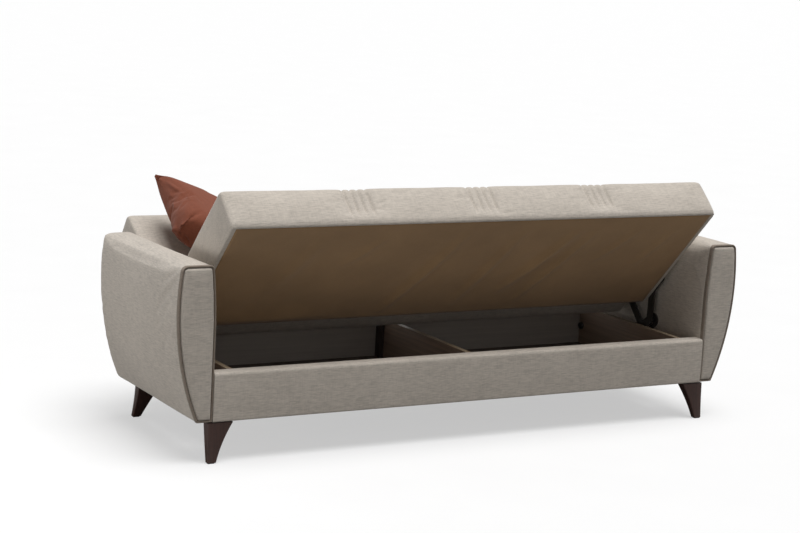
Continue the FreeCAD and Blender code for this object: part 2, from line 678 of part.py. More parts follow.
pads = [box("rest_pad_block", ("rest_pad_place - rest_pad_length / 2",
                               "rest_pad_place + rest_pad_length / 2"),
            ("rail_round", "rail_round + rest_pad_width"),
            ("rail_top", "rail_top + rest_pad"), side) for _, side in SIDES]
keep(group("rest_pad_set", pads), "rest_pads", home())

# Corner blocks and leg plates
block_x = ("inner_half - side_gap", "inner_half - soft_gap")
front_block = (rail_rear, rail_rear + " + block_depth")
rear_block = (rear_inside + " - block_depth", rear_inside)
rear_leg_top = "base_depth - rear_leg"
plate_x = ("leg_outer - leg_width + plate_margin", "inner_half - plate_margin")
plate_z = ("leg_height - leg_plate", "leg_height")
corners = (
    (front_block, ("front_leg + plate_margin", front_block[1])),
    (rear_block, (rear_leg_top + " - leg_depth + plate_margin", rear_block[1])),
)
blocks, plates = [], []
for block_y, plate_y in corners:
    for _, side in SIDES:
        blocks.append(box("corner_block", block_x, block_y,
                          ("leg_height", "leg_height + block_height"), side))
        plates.append(box("leg_plate_block", plate_x, plate_y, plate_z, side))
keep(group("corner_block_set", blocks), "corner_blocks", home())
keep(group("leg_plate_set", plates), "leg_plates", home())

# Legs: two tapered lengths each, which give the curve of the inner side, standing on glides
front_edges = (
    ("front_leg", "front_leg + leg_depth"),
    ("front_leg - front_knee_splay", "front_leg - front_knee_splay + knee_depth"),
    ("front_leg - front_splay", "front_leg - front_splay + foot_depth"),
)
rear_edges = (
    (rear_leg_top + " - leg_depth", rear_leg_top),
    (rear_leg_top + " + rear_knee_splay - knee_depth", rear_leg_top + " + rear_knee_splay"),
    (rear_leg_top + " + rear_splay - foot_depth", rear_leg_top + " + rear_splay"),
)
leg_heights = ("leg_height - leg_plate", "knee_height", "glide")
leg_widths = ("leg_width", "knee_width", "foot_width")
glides = []
for end_name, edges in (("front", front_edges), ("rear", rear_edges)):
    for side_name, side in SIDES:
        rings = [((f"leg_outer - {width}", "leg_outer"), edge, height)
                 for width, edge, height in zip(leg_widths, edges, leg_heights)]
        leg = joined("leg_form", [taper("leg_upper", rings[1], rings[0], side),
                                  taper("leg_lower", rings[2], rings[1], side)])
        keep(leg, f"leg_{end_name}_{side_name}", home())
        foot_low, foot_high = edges[-1]
        glides.append(box("glide_block", ("leg_outer - foot_width + glide_margin",
                                          "leg_outer - glide_margin"),
                          (foot_low + " + glide_margin", foot_high + " - glide_margin"),
                          ("0", "glide"), side))
keep(group("glide_set", glides), "foot_glides", home())

# Curved tracks on the arms, in which the seat's rollers run about the lift axis
roller_reach = amount(rear_inside + " - rear_roller_place - lift_y") / size("track_radius")
closed_rear = math.degrees(math.acos(roller_reach))
closed_front = closed_rear + size("roller_angle")
open_front = closed_front + size("open_tilt")


def below_axis(degrees, radius):
    """A point at an angle below the lift axis, counted from the rear."""
    angle = math.radians(degrees)
    return size("lift_y") + radius * math.cos(angle), size("lift_z") - radius * math.sin(angle)


track_x = ("inner_half - track_plate", "inner_half")
slot_half = "roller + roller_gap"
rim_half = "roller + roller_gap + track_wall"
track_ends = [below_axis(angle, size("track_radius")) for angle in (closed_rear, open_front)]
for side_name, side in SIDES:
    turn = (closed_rear, open_front, side)
    rim = cut("track_rim", sector("track_rim_outer", "track_radius + " + rim_half, track_x, *turn),
              sector("track_rim_inner", "track_radius - roller - roller_gap - track_wall",
                     track_x, *turn))
    slot = cut("track_slot", sector("track_slot_outer", "track_radius + " + slot_half, track_x, *turn),
               sector("track_slot_inner", "track_radius - roller - roller_gap", track_x, *turn))
    rim_discs = [rod("track_rim_end", rim_half, track_x, *end, side) for end in track_ends]
    slot_discs = [rod("track_slot_end", slot_half, track_x, *end, side) for end in track_ends]
    track = cut("track_body", joined("track_solid", [rim] + rim_discs),
                joined("track_opening", [slot] + slot_discs))
    keep(track, f"lift_track_{side_name}", home())

# Arms: a padded body over a board, a separate front panel, and piping between them
def is_rear_edge(edge):
    """Whether an edge runs round an arm's rear, apart from its underside."""
    rear, low = size("base_depth") - size("soft_gap"), size("leg_height") + size("soft_gap")
    return edge.BoundBox.YMin > rear and edge.BoundBox.ZMax > low


def is_front_edge(edge):
    """Whether an edge runs round the face of an arm's front panel."""
    return edge.BoundBox.YMax < size("soft_gap")


def is_piping_edge(edge):
    """Whether an edge runs round the front of an arm's piping."""
    return edge.BoundBox.YMax < size("arm_front_set") - size("piping") + size("soft_gap")


for side_name, side in SIDES:
    arm = doc.addObject("PartDesign::Body", f"arm_{side_name}_body")
    arm_sketch = sketch_on(arm, "XZ_Plane", "arm_outline", "- base_depth")
    arm_outline(arm_sketch, "no_inset", side)
    arm_pad = pad(arm, arm_sketch, "arm_pad", "base_depth - arm_front_set")
    bevelled(arm, arm_pad, "arm_rear_edge", "arm_rear_bevel", is_rear_edge)
    board_x = ("inner_half + arm_board_cover", "inner_half + arm_board_cover + board")
    board_y = ("arm_front_set + arm_board_place", "base_depth - arm_board_place")
    board_z = ("leg_height", "arm_top - arm_board_drop")
    pocket = box("arm_pocket", (board_x[0] + " - soft_gap", board_x[1] + " + soft_gap"),
                 (board_y[0] + " - soft_gap", board_y[1] + " + soft_gap"),
                 ("leg_height - glide", board_z[1] + " + soft_gap"), side)
    holes = joined("arm_holes", [pocket] + bolt_holes[side])
    keep(cut("arm_padded", arm, holes), f"arm_body_{side_name}", home())
    arm_board = box("arm_board_block", board_x, board_y, board_z, side)
    drilled = group("arm_board_holes", bolt_holes[side])
    keep(cut("arm_board_cut", arm_board, drilled), f"arm_board_{side_name}", home())
    front = doc.addObject("PartDesign::Body", f"arm_front_{side_name}_body")
    front_sketch = sketch_on(front, "XZ_Plane", "arm_front_outline", "- arm_front_set")
    arm_outline(front_sketch, "panel_inset", side)
    front_pad = pad(front, front_sketch, "arm_front_pad", "arm_front_set")
    bevelled(front, front_pad, "arm_front_edge", "panel_round", is_front_edge)
    keep(front, f"arm_front_panel_{side_name}", home())
    rings = []
    for inset in ("no_inset", "piping"):
        ring = doc.addObject("PartDesign::Body", f"piping_{side_name}_{inset}_body")
        ring_sketch = sketch_on(ring, "XZ_Plane", "piping_outline", "- arm_front_set")
        arm_outline(ring_sketch, inset, side)
        ring_pad = pad(ring, ring_sketch, "piping_pad", "piping")
        if inset == "no_inset":
            bevelled(ring, ring_pad, "piping_edge", "piping_round", is_piping_edge)
        rings.append(ring)
    keep(cut("piping_ring", *rings), f"arm_piping_{side_name}", home())

# Mechanism points, seat closed and back flat
seat_plate_x = ("seat_half + soft_gap", "seat_half + soft_gap + plate")
back_plate_x = ("seat_half + soft_gap + plate + plate_gap",
                "seat_half + soft_gap + plate + plate_gap + plate")
housing_x = (back_plate_x[1], back_plate_x[1] + " + housing_thick")
pin_head_x = (housing_x[1] + " + plate_gap", housing_x[1] + " + plate_gap + pin_head_thick")
hinge_at = (size("hinge_y"), size("hinge_z"))
frame_mid = amount("seat_low + soft_gap + frame_thick / 2")
back_mid = amount(BACK_LOW + " + soft_gap + frame_thick / 2")
seat_bolts_at = [(amount(SEAT_REAR + " - seat_bolt_place - plate_bolt_pitch"), frame_mid),
                 (amount(SEAT_REAR + " - seat_bolt_place"), frame_mid)]
back_bolts_at = [(amount(BACK_FRONT + " + back_bolt_place"), back_mid),
                 (amount(BACK_FRONT + " + back_bolt_place + plate_bolt_pitch"), back_mid)]
rollers_at = [below_axis(closed_front, size("track_radius")),
              below_axis(closed_rear, size("track_radius"))]
grip_x = ("seat_half - plate_bolt_grip", seat_plate_x[1])
back_grip_x = ("seat_half - plate_bolt_grip", back_plate_x[1])


def bolt_set(points, plate_x_range, grip, collar):
    """Bolts through a hinge plate into the frame behind it, and the holes they need."""
    made, holes = [], []
    head_x = (plate_x_range[1], plate_x_range[1] + " + plate_bolt_head_thick")
    for _, side in SIDES:
        for y, z in points:
            pieces = [hexagon("plate_bolt_cap", "plate_bolt_head", head_x, y, z, side),
                      rod("plate_bolt_shank", "plate_bolt", grip, y, z, side)]
            if collar:
                pieces.append(hexagon("plate_bolt_collar", "plate_bolt_head",
                                      ("seat_half", plate_x_range[0]), y, z, side))
            made.append(joined("plate_bolt_solid", pieces))
            holes.append(rod("plate_bolt_hole", "plate_bolt + bolt_clearance", grip, y, z, side))
    return made, holes


seat_bolts, seat_bolt_holes = bolt_set(seat_bolts_at, seat_plate_x, grip_x, False)
back_bolts, back_bolt_holes = bolt_set(back_bolts_at, back_plate_x, back_grip_x, True)


def frame(name, front, depth, low, holes):
    """A wooden frame with one cross rail, drilled for the hinge bolts."""
    outer_x = ("- seat_half + frame_margin", "seat_half - frame_margin")
    outer_y = (front + " + frame_margin", front + " + " + depth + " - frame_margin")
    frame_z = (low + " + soft_gap", low + " + soft_gap + frame_thick")
    whole = box(name + "_outer", outer_x, outer_y, frame_z)
    opening = box(name + "_opening", (outer_x[0] + " + frame_wide", outer_x[1] + " - frame_wide"),
                  (outer_y[0] + " + frame_wide", outer_y[1] + " - frame_wide"), frame_z)
    cross = box(name + "_cross", ("- frame_wide / 2", "frame_wide / 2"), outer_y, frame_z)
    rails = joined(name + "_rails", [cut(name + "_ring", whole, opening), cross])
    webs = []
    for share in WEB_SHARES:
        web = box(name + "_web", ("- web_width / 2", "web_width / 2"), outer_y,
                  (frame_z[1], frame_z[1] + " + webbing"))
        web.setExpression(".Placement.Base.x", f"{share} * sizes.web_pitch - sizes.web_width / 2")
        webs.append(web)
    pocket = box(name + "_pocket", (outer_x[0] + " - soft_gap", outer_x[1] + " + soft_gap"),
                 (outer_y[0] + " - soft_gap", outer_y[1] + " + soft_gap"),
                 (low + " - glide", frame_z[1] + " + webbing + soft_gap"))
    drilled = cut(name + "_drilled", rails, group(name + "_holes", holes))
    return drilled, group(name + "_webs", webs), joined(name + "_cavity", [pocket] + holes)


def lining(name, front, depth, low):
    """The cloth stapled under a cushion."""
    return box(name, ("- seat_half + lining_margin", "seat_half - lining_margin"),
               (front + " + lining_margin", front + " + " + depth + " - lining_margin"),
               (low + " - lining", low))


# Seat
seat_frame, seat_webs, seat_cavity = frame("seat_frame_part", "seat_front", "seat_depth", "seat_low",
                                           seat_bolt_holes)
keep(seat_frame, "seat_frame", lifted())
keep(seat_webs, "seat_webbing", lifted())
seat_form = cushion("seat_form", "seat_front", "seat_low", "seat_depth", "seat_thick",
                    ("low_round", "low_round", "top_round", "top_round"))
keep(cut("seat_hollowed", seat_form, seat_cavity), "seat_cushion", lifted())
keep(lining("seat_lining", "seat_front", "seat_depth", "seat_low"), "seat_underside_cloth", lifted())
for side_name, side in SIDES:
    bars = link("seat_link", *seat_bolts_at, "link_half", seat_plate_x, side)
    bars += link("seat_link", seat_bolts_at[1], hinge_at, "link_half", seat_plate_x, side)
    bars += link("seat_link", seat_bolts_at[1], rollers_at[0], "link_half", seat_plate_x, side)
    bars += link("seat_link", *rollers_at, "link_half", seat_plate_x, side)
    bars += link("seat_link", rollers_at[1], hinge_at, "link_half", seat_plate_x, side)
    pierced = group("seat_plate_holes", seat_bolt_holes + [
        rod("seat_pin_hole", "hinge_pin", seat_plate_x, *hinge_at, side)])
    keep(cut("seat_plate_cut", joined("seat_plate_bars", bars), pierced),
         f"seat_plate_{side_name}", lifted())
keep(group("seat_bolt_set", seat_bolts), "seat_plate_bolts", lifted())
rollers, pins = [], []
for _, side in SIDES:
    for point in rollers_at:
        wheel_x = ("inner_half - track_plate + plate_gap", "inner_half - plate_gap")
        stem = rod("roller_stem_bar", "roller_stem", (seat_plate_x[1], wheel_x[1]), *point, side)
        wheel = rod("roller_wheel", "roller", wheel_x, *point, side)
        rollers.append(joined("roller_solid", [stem, wheel]))
    pin = rod("pin_bar", "hinge_pin", (seat_plate_x[0], pin_head_x[1]), *hinge_at, side)
    head = rod("pin_cap", "pin_head", pin_head_x, *hinge_at, side)
    pins.append(joined("pin_solid", [pin, head]))
keep(group("roller_set", rollers), "track_rollers", lifted())
keep(group("pin_set", pins), "hinge_pins", lifted())

# Back
back_frame, back_webs, back_cavity = frame("back_frame_part", BACK_FRONT, "back_depth", BACK_LOW,
                                           back_bolt_holes)
keep(back_frame, "back_frame", leaning())
keep(back_webs, "back_webbing", leaning())
back_form = cushion("back_form", BACK_FRONT, BACK_LOW, "back_depth", "back_thick",
                    ("back_foot_round", "back_head_round", "top_round", "top_round"))
keep(cut("back_hollowed", back_form, back_cavity), "back_cushion", leaning())
keep(lining("back_lining", BACK_FRONT, "back_depth", BACK_LOW), "back_rear_cloth", leaning())
housings = []
for side_name, side in SIDES:
    bars = link("back_link", hinge_at, back_bolts_at[0], "link_half", back_plate_x, side)
    bars += link("back_link", *back_bolts_at, "link_half", back_plate_x, side)
    pin_hole = rod("back_pin_hole", "hinge_pin + pin_clearance", (back_plate_x[0], housing_x[1]),
                   *hinge_at, side)
    pierced = group("back_plate_holes", back_bolt_holes + [pin_hole])
    keep(cut("back_plate_cut", joined("back_plate_bars", bars), pierced),
         f"back_plate_{side_name}", leaning())
    disc = rod("housing_disc", "housing", housing_x, *hinge_at, side)
    housings.append(cut("housing_cut", disc, pin_hole))
keep(group("back_bolt_set", back_bolts), "back_plate_bolts", leaning())
keep(group("housing_set", housings), "ratchet_housings", leaning())

# Loose cushion, leaning in the corner between back and seat
pillow = formed("pillow_form", pillow_form())
turn = V(*PILLOW_ANGLES)
pillow_at = V(size("pillow_x"), amount("base_depth - pillow_place"), size("pillow_z"))
pillow_turned = FreeCAD.Placement(pillow_at, FreeCAD.Rotation(turn, math.degrees(turn.Length)))
keep(pillow, "throw_pillow", home().multiply(pillow_turned))

doc.recompute()
for obj in doc.Objects:
    if "Invalid" in obj.State or "Error" in obj.State:
        raise RuntimeError(f"{obj.Name} ({obj.Label}) failed: {obj.State}")
for obj in SUBPARTS:
    if obj.Shape.isNull() or not obj.Shape.isValid():
        raise RuntimeError(f"{obj.Label} has no valid shape")
    if not obj.Shape.Solids:
        raise RuntimeError(f"{obj.Label} has no solid")

os.makedirs("parts", exist_ok=True)
for obj in SUBPARTS:
    obj.Shape.exportStep(os.path.join("parts", obj.Label + ".step"))
print(len(SUBPARTS), "sub-parts written")
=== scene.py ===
"""The looks of a storage sofa bed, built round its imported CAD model.

Metres, +Z up, X along the sofa, -Y the front. Every finished piece stands at the origin, with its
place in its mesh. Soft pieces are drawn in the closed sofa, where they lie level, and are then
turned to where the open sofa holds them.
"""
import json
import math
import random

import bmesh
import bpy
import numpy as np
from mathutils import Matrix, Quaternion, Vector


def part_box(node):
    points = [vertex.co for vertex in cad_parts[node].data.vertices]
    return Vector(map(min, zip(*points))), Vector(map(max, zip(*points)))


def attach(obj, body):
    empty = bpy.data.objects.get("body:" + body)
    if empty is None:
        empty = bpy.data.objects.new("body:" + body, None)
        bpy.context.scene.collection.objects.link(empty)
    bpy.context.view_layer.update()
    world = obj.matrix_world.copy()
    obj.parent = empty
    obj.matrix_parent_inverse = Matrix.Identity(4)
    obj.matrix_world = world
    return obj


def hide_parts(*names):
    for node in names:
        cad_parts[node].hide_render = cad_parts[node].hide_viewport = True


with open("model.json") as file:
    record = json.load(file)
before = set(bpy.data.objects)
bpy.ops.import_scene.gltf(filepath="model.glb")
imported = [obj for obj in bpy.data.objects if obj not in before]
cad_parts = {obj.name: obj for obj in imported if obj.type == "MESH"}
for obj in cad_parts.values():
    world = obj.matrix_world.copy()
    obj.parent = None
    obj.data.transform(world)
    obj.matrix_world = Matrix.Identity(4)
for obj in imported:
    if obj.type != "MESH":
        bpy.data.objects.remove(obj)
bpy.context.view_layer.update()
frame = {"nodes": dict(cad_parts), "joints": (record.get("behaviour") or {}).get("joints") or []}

bl_info = {
    "name": "Storage sofa bed",
    "version": (1, 0, 0),
    "blender": (4, 5, 0),
    "location": "View3D > Sidebar > Sofa bed",
    "description": "Dresses the storage sofa bed with cushions, arms, legs, fittings and finishes",
    "category": "Object",
}

# Places that the pieces share, in metres: the arms' inner sides, the box's underside, front and
# rear, the rail's top and the inner sides of the side boards
INNER = 0.940
BASE = 0.1295
FRONT = -0.4042
REAR = 0.2538
RAIL_TOP = 0.285
BOARD_INNER = 0.860

# The cushions in the closed sofa: their limits, the middles of their seam groups, the pitch of
# their seams, how far a cover may pass its end, and how far a stapled cloth lies below it
SEAM_GROUPS = (-0.4585, 0.0, 0.4585)
SEAM_PITCH = 0.027
COVER_EASE = 0.008
CLOTH_GAP = 0.0004
SEAT = {"half": 0.917, "front": -0.4142, "rear": 0.1158, "low": 0.2879, "high": 0.4349}
BACK = {"half": 0.917, "front": 0.1278, "rear": 0.6098, "low": 0.3079, "high": 0.4349}
SEAMS = [g + s * SEAM_PITCH for g in SEAM_GROUPS for s in (-1.5, -0.5, 0.5, 1.5)]
JOINTS = {joint["name"]: joint for joint in frame["joints"]}
LIFT = Vector(JOINTS["seat_lift"]["pos_m"])
HINGE = Vector(JOINTS["back_recline"]["pos_m"])


def turned(degrees, centre):
    """A turn about an axis along X through a point."""
    spin = Matrix.Rotation(math.radians(degrees), 4, "X")
    return Matrix.Translation(centre) @ spin @ Matrix.Translation(-centre)


SEAT_PLACE = turned(-JOINTS["seat_lift"]["range_deg"][1], LIFT)
CLOSED_HINGE = SEAT_PLACE.inverted() @ HINGE
BACK_PLACE = SEAT_PLACE @ turned(JOINTS["back_recline"]["range_deg"][1], CLOSED_HINGE)


def linear(code):
    """An sRGB hex colour as linear red, green, blue and alpha."""
    parts = [int(code[i:i + 2], 16) / 255 for i in (0, 2, 4)]
    return [c / 12.92 if c <= 0.04045 else ((c + 0.055) / 1.055) ** 2.4 for c in parts] + [1.0]


class SofaBedSizes(bpy.types.PropertyGroup):
    """Sizes that a user may change."""

    piping: bpy.props.FloatProperty(
        name="Piping", description="Radius of the piping round the arms", default=0.0031,
        min=0.001, max=0.006, unit="LENGTH")
    seam_depth: bpy.props.FloatProperty(
        name="Seam depth", description="Depth of the sewn channels", default=0.0065,
        min=0.0, max=0.015, unit="LENGTH")
    voxel: bpy.props.FloatProperty(
        name="Cushion detail", description="Grid of the cushions before they are simulated",
        default=0.009, min=0.004, max=0.02, unit="LENGTH")
    swell: bpy.props.FloatProperty(
        name="Swell", description="Furthest that a cushion's cover may swell", default=0.0132,
        min=0.0, max=0.018, unit="LENGTH")
    thread: bpy.props.FloatProperty(
        name="Thread", description="Pitch of the drawn threads of the cloth", default=0.0026,
        min=0.001, max=0.01, unit="LENGTH")


class SofaBedColours(bpy.types.PropertyGroup):
    """Colours that a user may change."""

    linen: bpy.props.FloatVectorProperty(
        name="Linen", description="Colour of the cover cloth", default=linear("C6BDB2"),
        size=4, subtype="COLOR", min=0, max=1)
    lining: bpy.props.FloatVectorProperty(
        name="Lining", description="Colour of the cloth under the seat", default=linear("A5845F"),
        size=4, subtype="COLOR", min=0, max=1)
    pillow: bpy.props.FloatVectorProperty(
        name="Loose cushion", description="Colour of the loose cushion", default=linear("7F4835"),
        size=4, subtype="COLOR", min=0, max=1)
    leg: bpy.props.FloatVectorProperty(
        name="Legs", description="Colour of the stained legs", default=linear("3B231C"),
        size=4, subtype="COLOR", min=0, max=1)
    board: bpy.props.FloatVectorProperty(
        name="Boards", description="Colour of the faced boards", default=linear("927D6D"),
        size=4, subtype="COLOR", min=0, max=1)


def sizes():
    """The scene's sizes."""
    return bpy.context.scene.sofabed_sizes


def colours():
    """The scene's colours."""
    return bpy.context.scene.sofabed_colours


# Selecting and shaping
def choose(*pieces):
    """Selects only these pieces and makes the first one active."""
    if bpy.context.object and bpy.context.object.mode != "OBJECT":
        bpy.ops.object.mode_set(mode="OBJECT")
    bpy.ops.object.select_all(action="DESELECT")
    for piece in pieces:
        piece.select_set(True)
    bpy.context.view_layer.objects.active = pieces[0]


def named(name):
    """Names the primitive that was just added, and gives its place to its mesh."""
    piece = bpy.context.object
    piece.name = name
    piece.data.name = name
    choose(piece)
    bpy.ops.object.transform_apply(location=True, rotation=True, scale=True)
    return piece


def pick(piece, kind, wanted):
    """Goes into edit mode and selects only the vertices, edges or faces that are wanted."""
    choose(piece)
    bpy.ops.object.mode_set(mode="EDIT")
    bpy.ops.mesh.select_mode(type=kind)
    bpy.ops.mesh.select_all(action="DESELECT")
    mesh = bmesh.from_edit_mesh(piece.data)
    parts = {"VERT": mesh.verts, "EDGE": mesh.edges, "FACE": mesh.faces}[kind]
    for part in parts:
        part.select_set(bool(wanted(part)))
    mesh.select_flush_mode()
    bmesh.update_edit_mesh(piece.data)


def leave():
    """Goes back to object mode."""
    bpy.ops.object.mode_set(mode="OBJECT")


def edit(piece, kind, wanted, operator, **settings):
    """Runs one edit mode operator on the picked vertices, edges or faces."""
    pick(piece, kind, wanted)
    operator(**settings)
    leave()


def everything(part):
    """Picks every part."""
    return True


def copied(piece, name):
    """A copy of a piece with its own mesh."""
    made = piece.copy()
    made.data = piece.data.copy()
    made.name = made.data.name = name
    bpy.context.scene.collection.objects.link(made)
    return made


def outward(piece, merge=0.0):
    """Merges doubled vertices and turns all faces outwards."""
    choose(piece)
    bpy.ops.object.mode_set(mode="EDIT")
    bpy.ops.mesh.select_all(action="SELECT")
    if merge:
        bpy.ops.mesh.remove_doubles(threshold=merge)
    bpy.ops.mesh.normals_make_consistent(inside=False)
    leave()


def apply_modifier(piece, kind, **settings):
    """Adds a modifier with its settings and applies it."""
    choose(piece)
    modifier = piece.modifiers.new(kind.title(), kind)
    for key, value in settings.items():
        setattr(modifier, key, value)
    bpy.ops.object.modifier_apply(modifier=modifier.name)


def smooth(piece, degrees=None):
    """Shades a piece smooth, or smooth only below an angle."""
    choose(piece)
    if degrees is None:
        bpy.ops.object.shade_smooth()
    else:
        bpy.ops.object.shade_smooth_by_angle(angle=math.radians(degrees))


def points_of(piece):
    """All vertices of a piece as an array."""
    points = np.empty(len(piece.data.vertices) * 3, np.float32)
    piece.data.vertices.foreach_get("co", points)
    return points.reshape(-1, 3).astype(float)


def normals_of(piece):
    """All vertex normals of a piece as an array."""
    normals = np.empty(len(piece.data.vertices) * 3, np.float32)
    piece.data.vertex_normals.foreach_get("vector", normals)
    return normals.reshape(-1, 3).astype(float)


def set_points(piece, points):
    """Moves all vertices of a piece."""
    piece.data.vertices.foreach_set("co", points.astype(np.float32).ravel())
    piece.data.update()


def skin(name, rings):
    """A closed shape drawn through rings of points: a circle is placed on the first ring, is
    extruded from ring to ring, and is filled at both ends."""
    bpy.ops.object.select_all(action="DESELECT")
    bpy.ops.mesh.primitive_circle_add(vertices=len(rings[0]), radius=1, fill_type="NOTHING")
    piece = named(name)
    set_points(piece, np.array(rings[0], float))
    count = len(rings[0])
    for ring in rings[1:]:
        start = len(piece.data.vertices) - count
        edit(piece, "VERT", lambda v: v.index >= start, bpy.ops.mesh.extrude_region_move)
        points = points_of(piece)
        source = points[start:start + count]
        fresh = points[start + count:]
        order = [int(np.argmin(((source - p) ** 2).sum(1))) for p in fresh]
        points[start + count:] = np.array(ring, float)[order]
        set_points(piece, points)
        if order != list(range(count)):
            sort_last(piece, start + count, ring)
    for low in (0, len(piece.data.vertices) - count):
        edit(piece, "VERT", lambda v: low <= v.index < low + count, bpy.ops.mesh.edge_face_add)
    outward(piece)
    return piece


def sort_last(piece, start, ring):
    """Puts the vertices of the last ring in the ring's own order."""
    mesh = bmesh.new()
    mesh.from_mesh(piece.data)
    mesh.verts.ensure_lookup_table()
    ring_points = np.array(ring, float)
    for vertex in mesh.verts[start:]:
        gap = ((ring_points - np.array(vertex.co)) ** 2).sum(1)
        vertex.index = start + int(np.argmin(gap))
    mesh.verts.sort()
    mesh.to_mesh(piece.data)
    mesh.free()


def creases(piece, lines):
    """Presses folds into a cover along lines: start, end, half width and height, in metres."""
    points = points_of(piece)
    normals = normals_of(piece)
    shift = np.zeros(len(points))
    for start, end, width, height in lines:
        a, b = np.array(start, float), np.array(end, float)
        along = b - a
        share = np.clip((points - a) @ along / (along @ along), 0, 1)
        away = np.linalg.norm(points - a - share[:, None] * along, axis=1)
        shift += height * np.exp(-((away / width) ** 2)) * np.sin(np.pi * (0.08 + 0.84 * share))
    set_points(piece, points + normals * shift[:, None])


def waves(points, seed, count, low, high):
    """A smooth random field from a few sine waves, with wavelengths between two lengths."""
    chance = random.Random(seed)
    field = np.zeros(len(points))
    for _ in range(count):
        way = np.array([chance.gauss(0, 1) for _ in range(3)])
        way /= np.linalg.norm(way)
        length = chance.uniform(low, high)
        field += np.sin(points @ way * 2 * math.pi / length + chance.uniform(0, 6.28))
    return field / math.sqrt(count)


def swollen(piece, pressure, cap, pinned=None, frames=20, voxel=None):
    """Makes a closed form a stuffed cover: an even grid, a cloth that air pushes out, no further
    than the cap, and one subdivision."""
    if voxel:
        apply_modifier(piece, "REMESH", mode="VOXEL", voxel_size=voxel, adaptivity=0.0)
    before = points_of(piece)
    choose(piece)
    if pinned is not None:
        group = piece.vertex_groups.new(name="pinned")
        for i, weight in enumerate(pinned(before)):
            if weight > 0.01:
                group.add([i], float(weight), "REPLACE")
    cloth = piece.modifiers.new("Cloth", "CLOTH")
    settings = cloth.settings
    settings.quality = 4
    settings.mass = 0.3
    settings.tension_stiffness = 22
    settings.compression_stiffness = 12
    settings.shear_stiffness = 8
    settings.bending_stiffness = 0.6
    settings.use_pressure = True
    settings.uniform_pressure_force = pressure
    settings.effector_weights.gravity = 0
    if pinned is not None:
        settings.vertex_group_mass = "pinned"
    cloth.collision_settings.use_collision = False
    cloth.point_cache.frame_start = 1
    cloth.point_cache.frame_end = frames
    for number in range(1, frames + 1):
        bpy.context.scene.frame_set(number)
    bpy.ops.object.modifier_apply(modifier=cloth.name)
    bpy.context.scene.frame_set(1)
    if len(piece.data.vertices) != len(before):
        raise RuntimeError(f"{piece.name} changed its vertices in the simulation")
    after = points_of(piece)
    step = after - before
    length = np.linalg.norm(step, axis=1)
    share = np.where(length > cap, cap / np.maximum(length, 1e-9), 1.0)
    set_points(piece, before + step * share[:, None])
    piece.vertex_groups.clear()
    apply_modifier(piece, "SUBSURF", levels=1, render_levels=1)
    smooth(piece)


def kept_within(piece, low, high):
    """Keeps a soft piece clear of its neighbours: no point passes these limits, and what faces
    down near the lowest level lies flat on it."""
    points, normals = points_of(piece), normals_of(piece)
    flat = (normals[:, 2] < -0.7) & (points[:, 2] < low[2] + 0.012)
    points[flat, 2] = low[2]
    set_points(piece, np.clip(points, np.array(low), np.array(high)))


def placed(piece, matrix):
    """Turns a piece's mesh to its place."""
    piece.data.transform(matrix)
    piece.data.update()


def dressed(piece, finish, body, replaces=()):
    """Gives a finished piece its material and its body, and hides the parts that it replaces."""
    piece.data.materials.clear()
    piece.data.materials.append(finish)
    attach(piece, body)
    if replaces:
        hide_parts(*replaces)
    return piece


# Finishes
def add(tree, kind, settings=None, links=None, stops=()):
    """Adds a node, sets its properties and sockets, links its inputs, and sets colour stops."""
    node = tree.nodes.new(kind)
    for key, value in (settings or {}).items():
        if isinstance(key, str) and hasattr(node, key):
            setattr(node, key, value)
        else:
            node.inputs[key].default_value = value
    link(node, links or {})
    elements = node.color_ramp.elements if stops else ()
    while len(elements) < len(stops):
        elements.new(0.5)
    for element, (place, colour) in zip(elements, stops):
        element.position = place
        element.color = colour
    return node


def link(node, links):
    """Links sockets to a node's inputs."""
    for key, source in links.items():
        node.id_data.links.new(source, node.inputs[key])


def finish_of(name, settings):
    """A new material with its shader, and the link that gives object coordinates."""
    made = bpy.data.materials.new(name)
    made.use_nodes = True
    tree = made.node_tree
    tree.nodes.clear()
    shader = add(tree, "ShaderNodeBsdfPrincipled", settings)
    add(tree, "ShaderNodeOutputMaterial", links={"Surface": shader.outputs["BSDF"]})
    place = add(tree, "ShaderNodeTexCoord")
    return made, tree, shader, {"Vector": place.outputs["Object"]}


def shade(colour, factor):
    """A colour made lighter or darker."""
    return [min(1.0, c * factor) for c in colour[:3]] + [1.0]


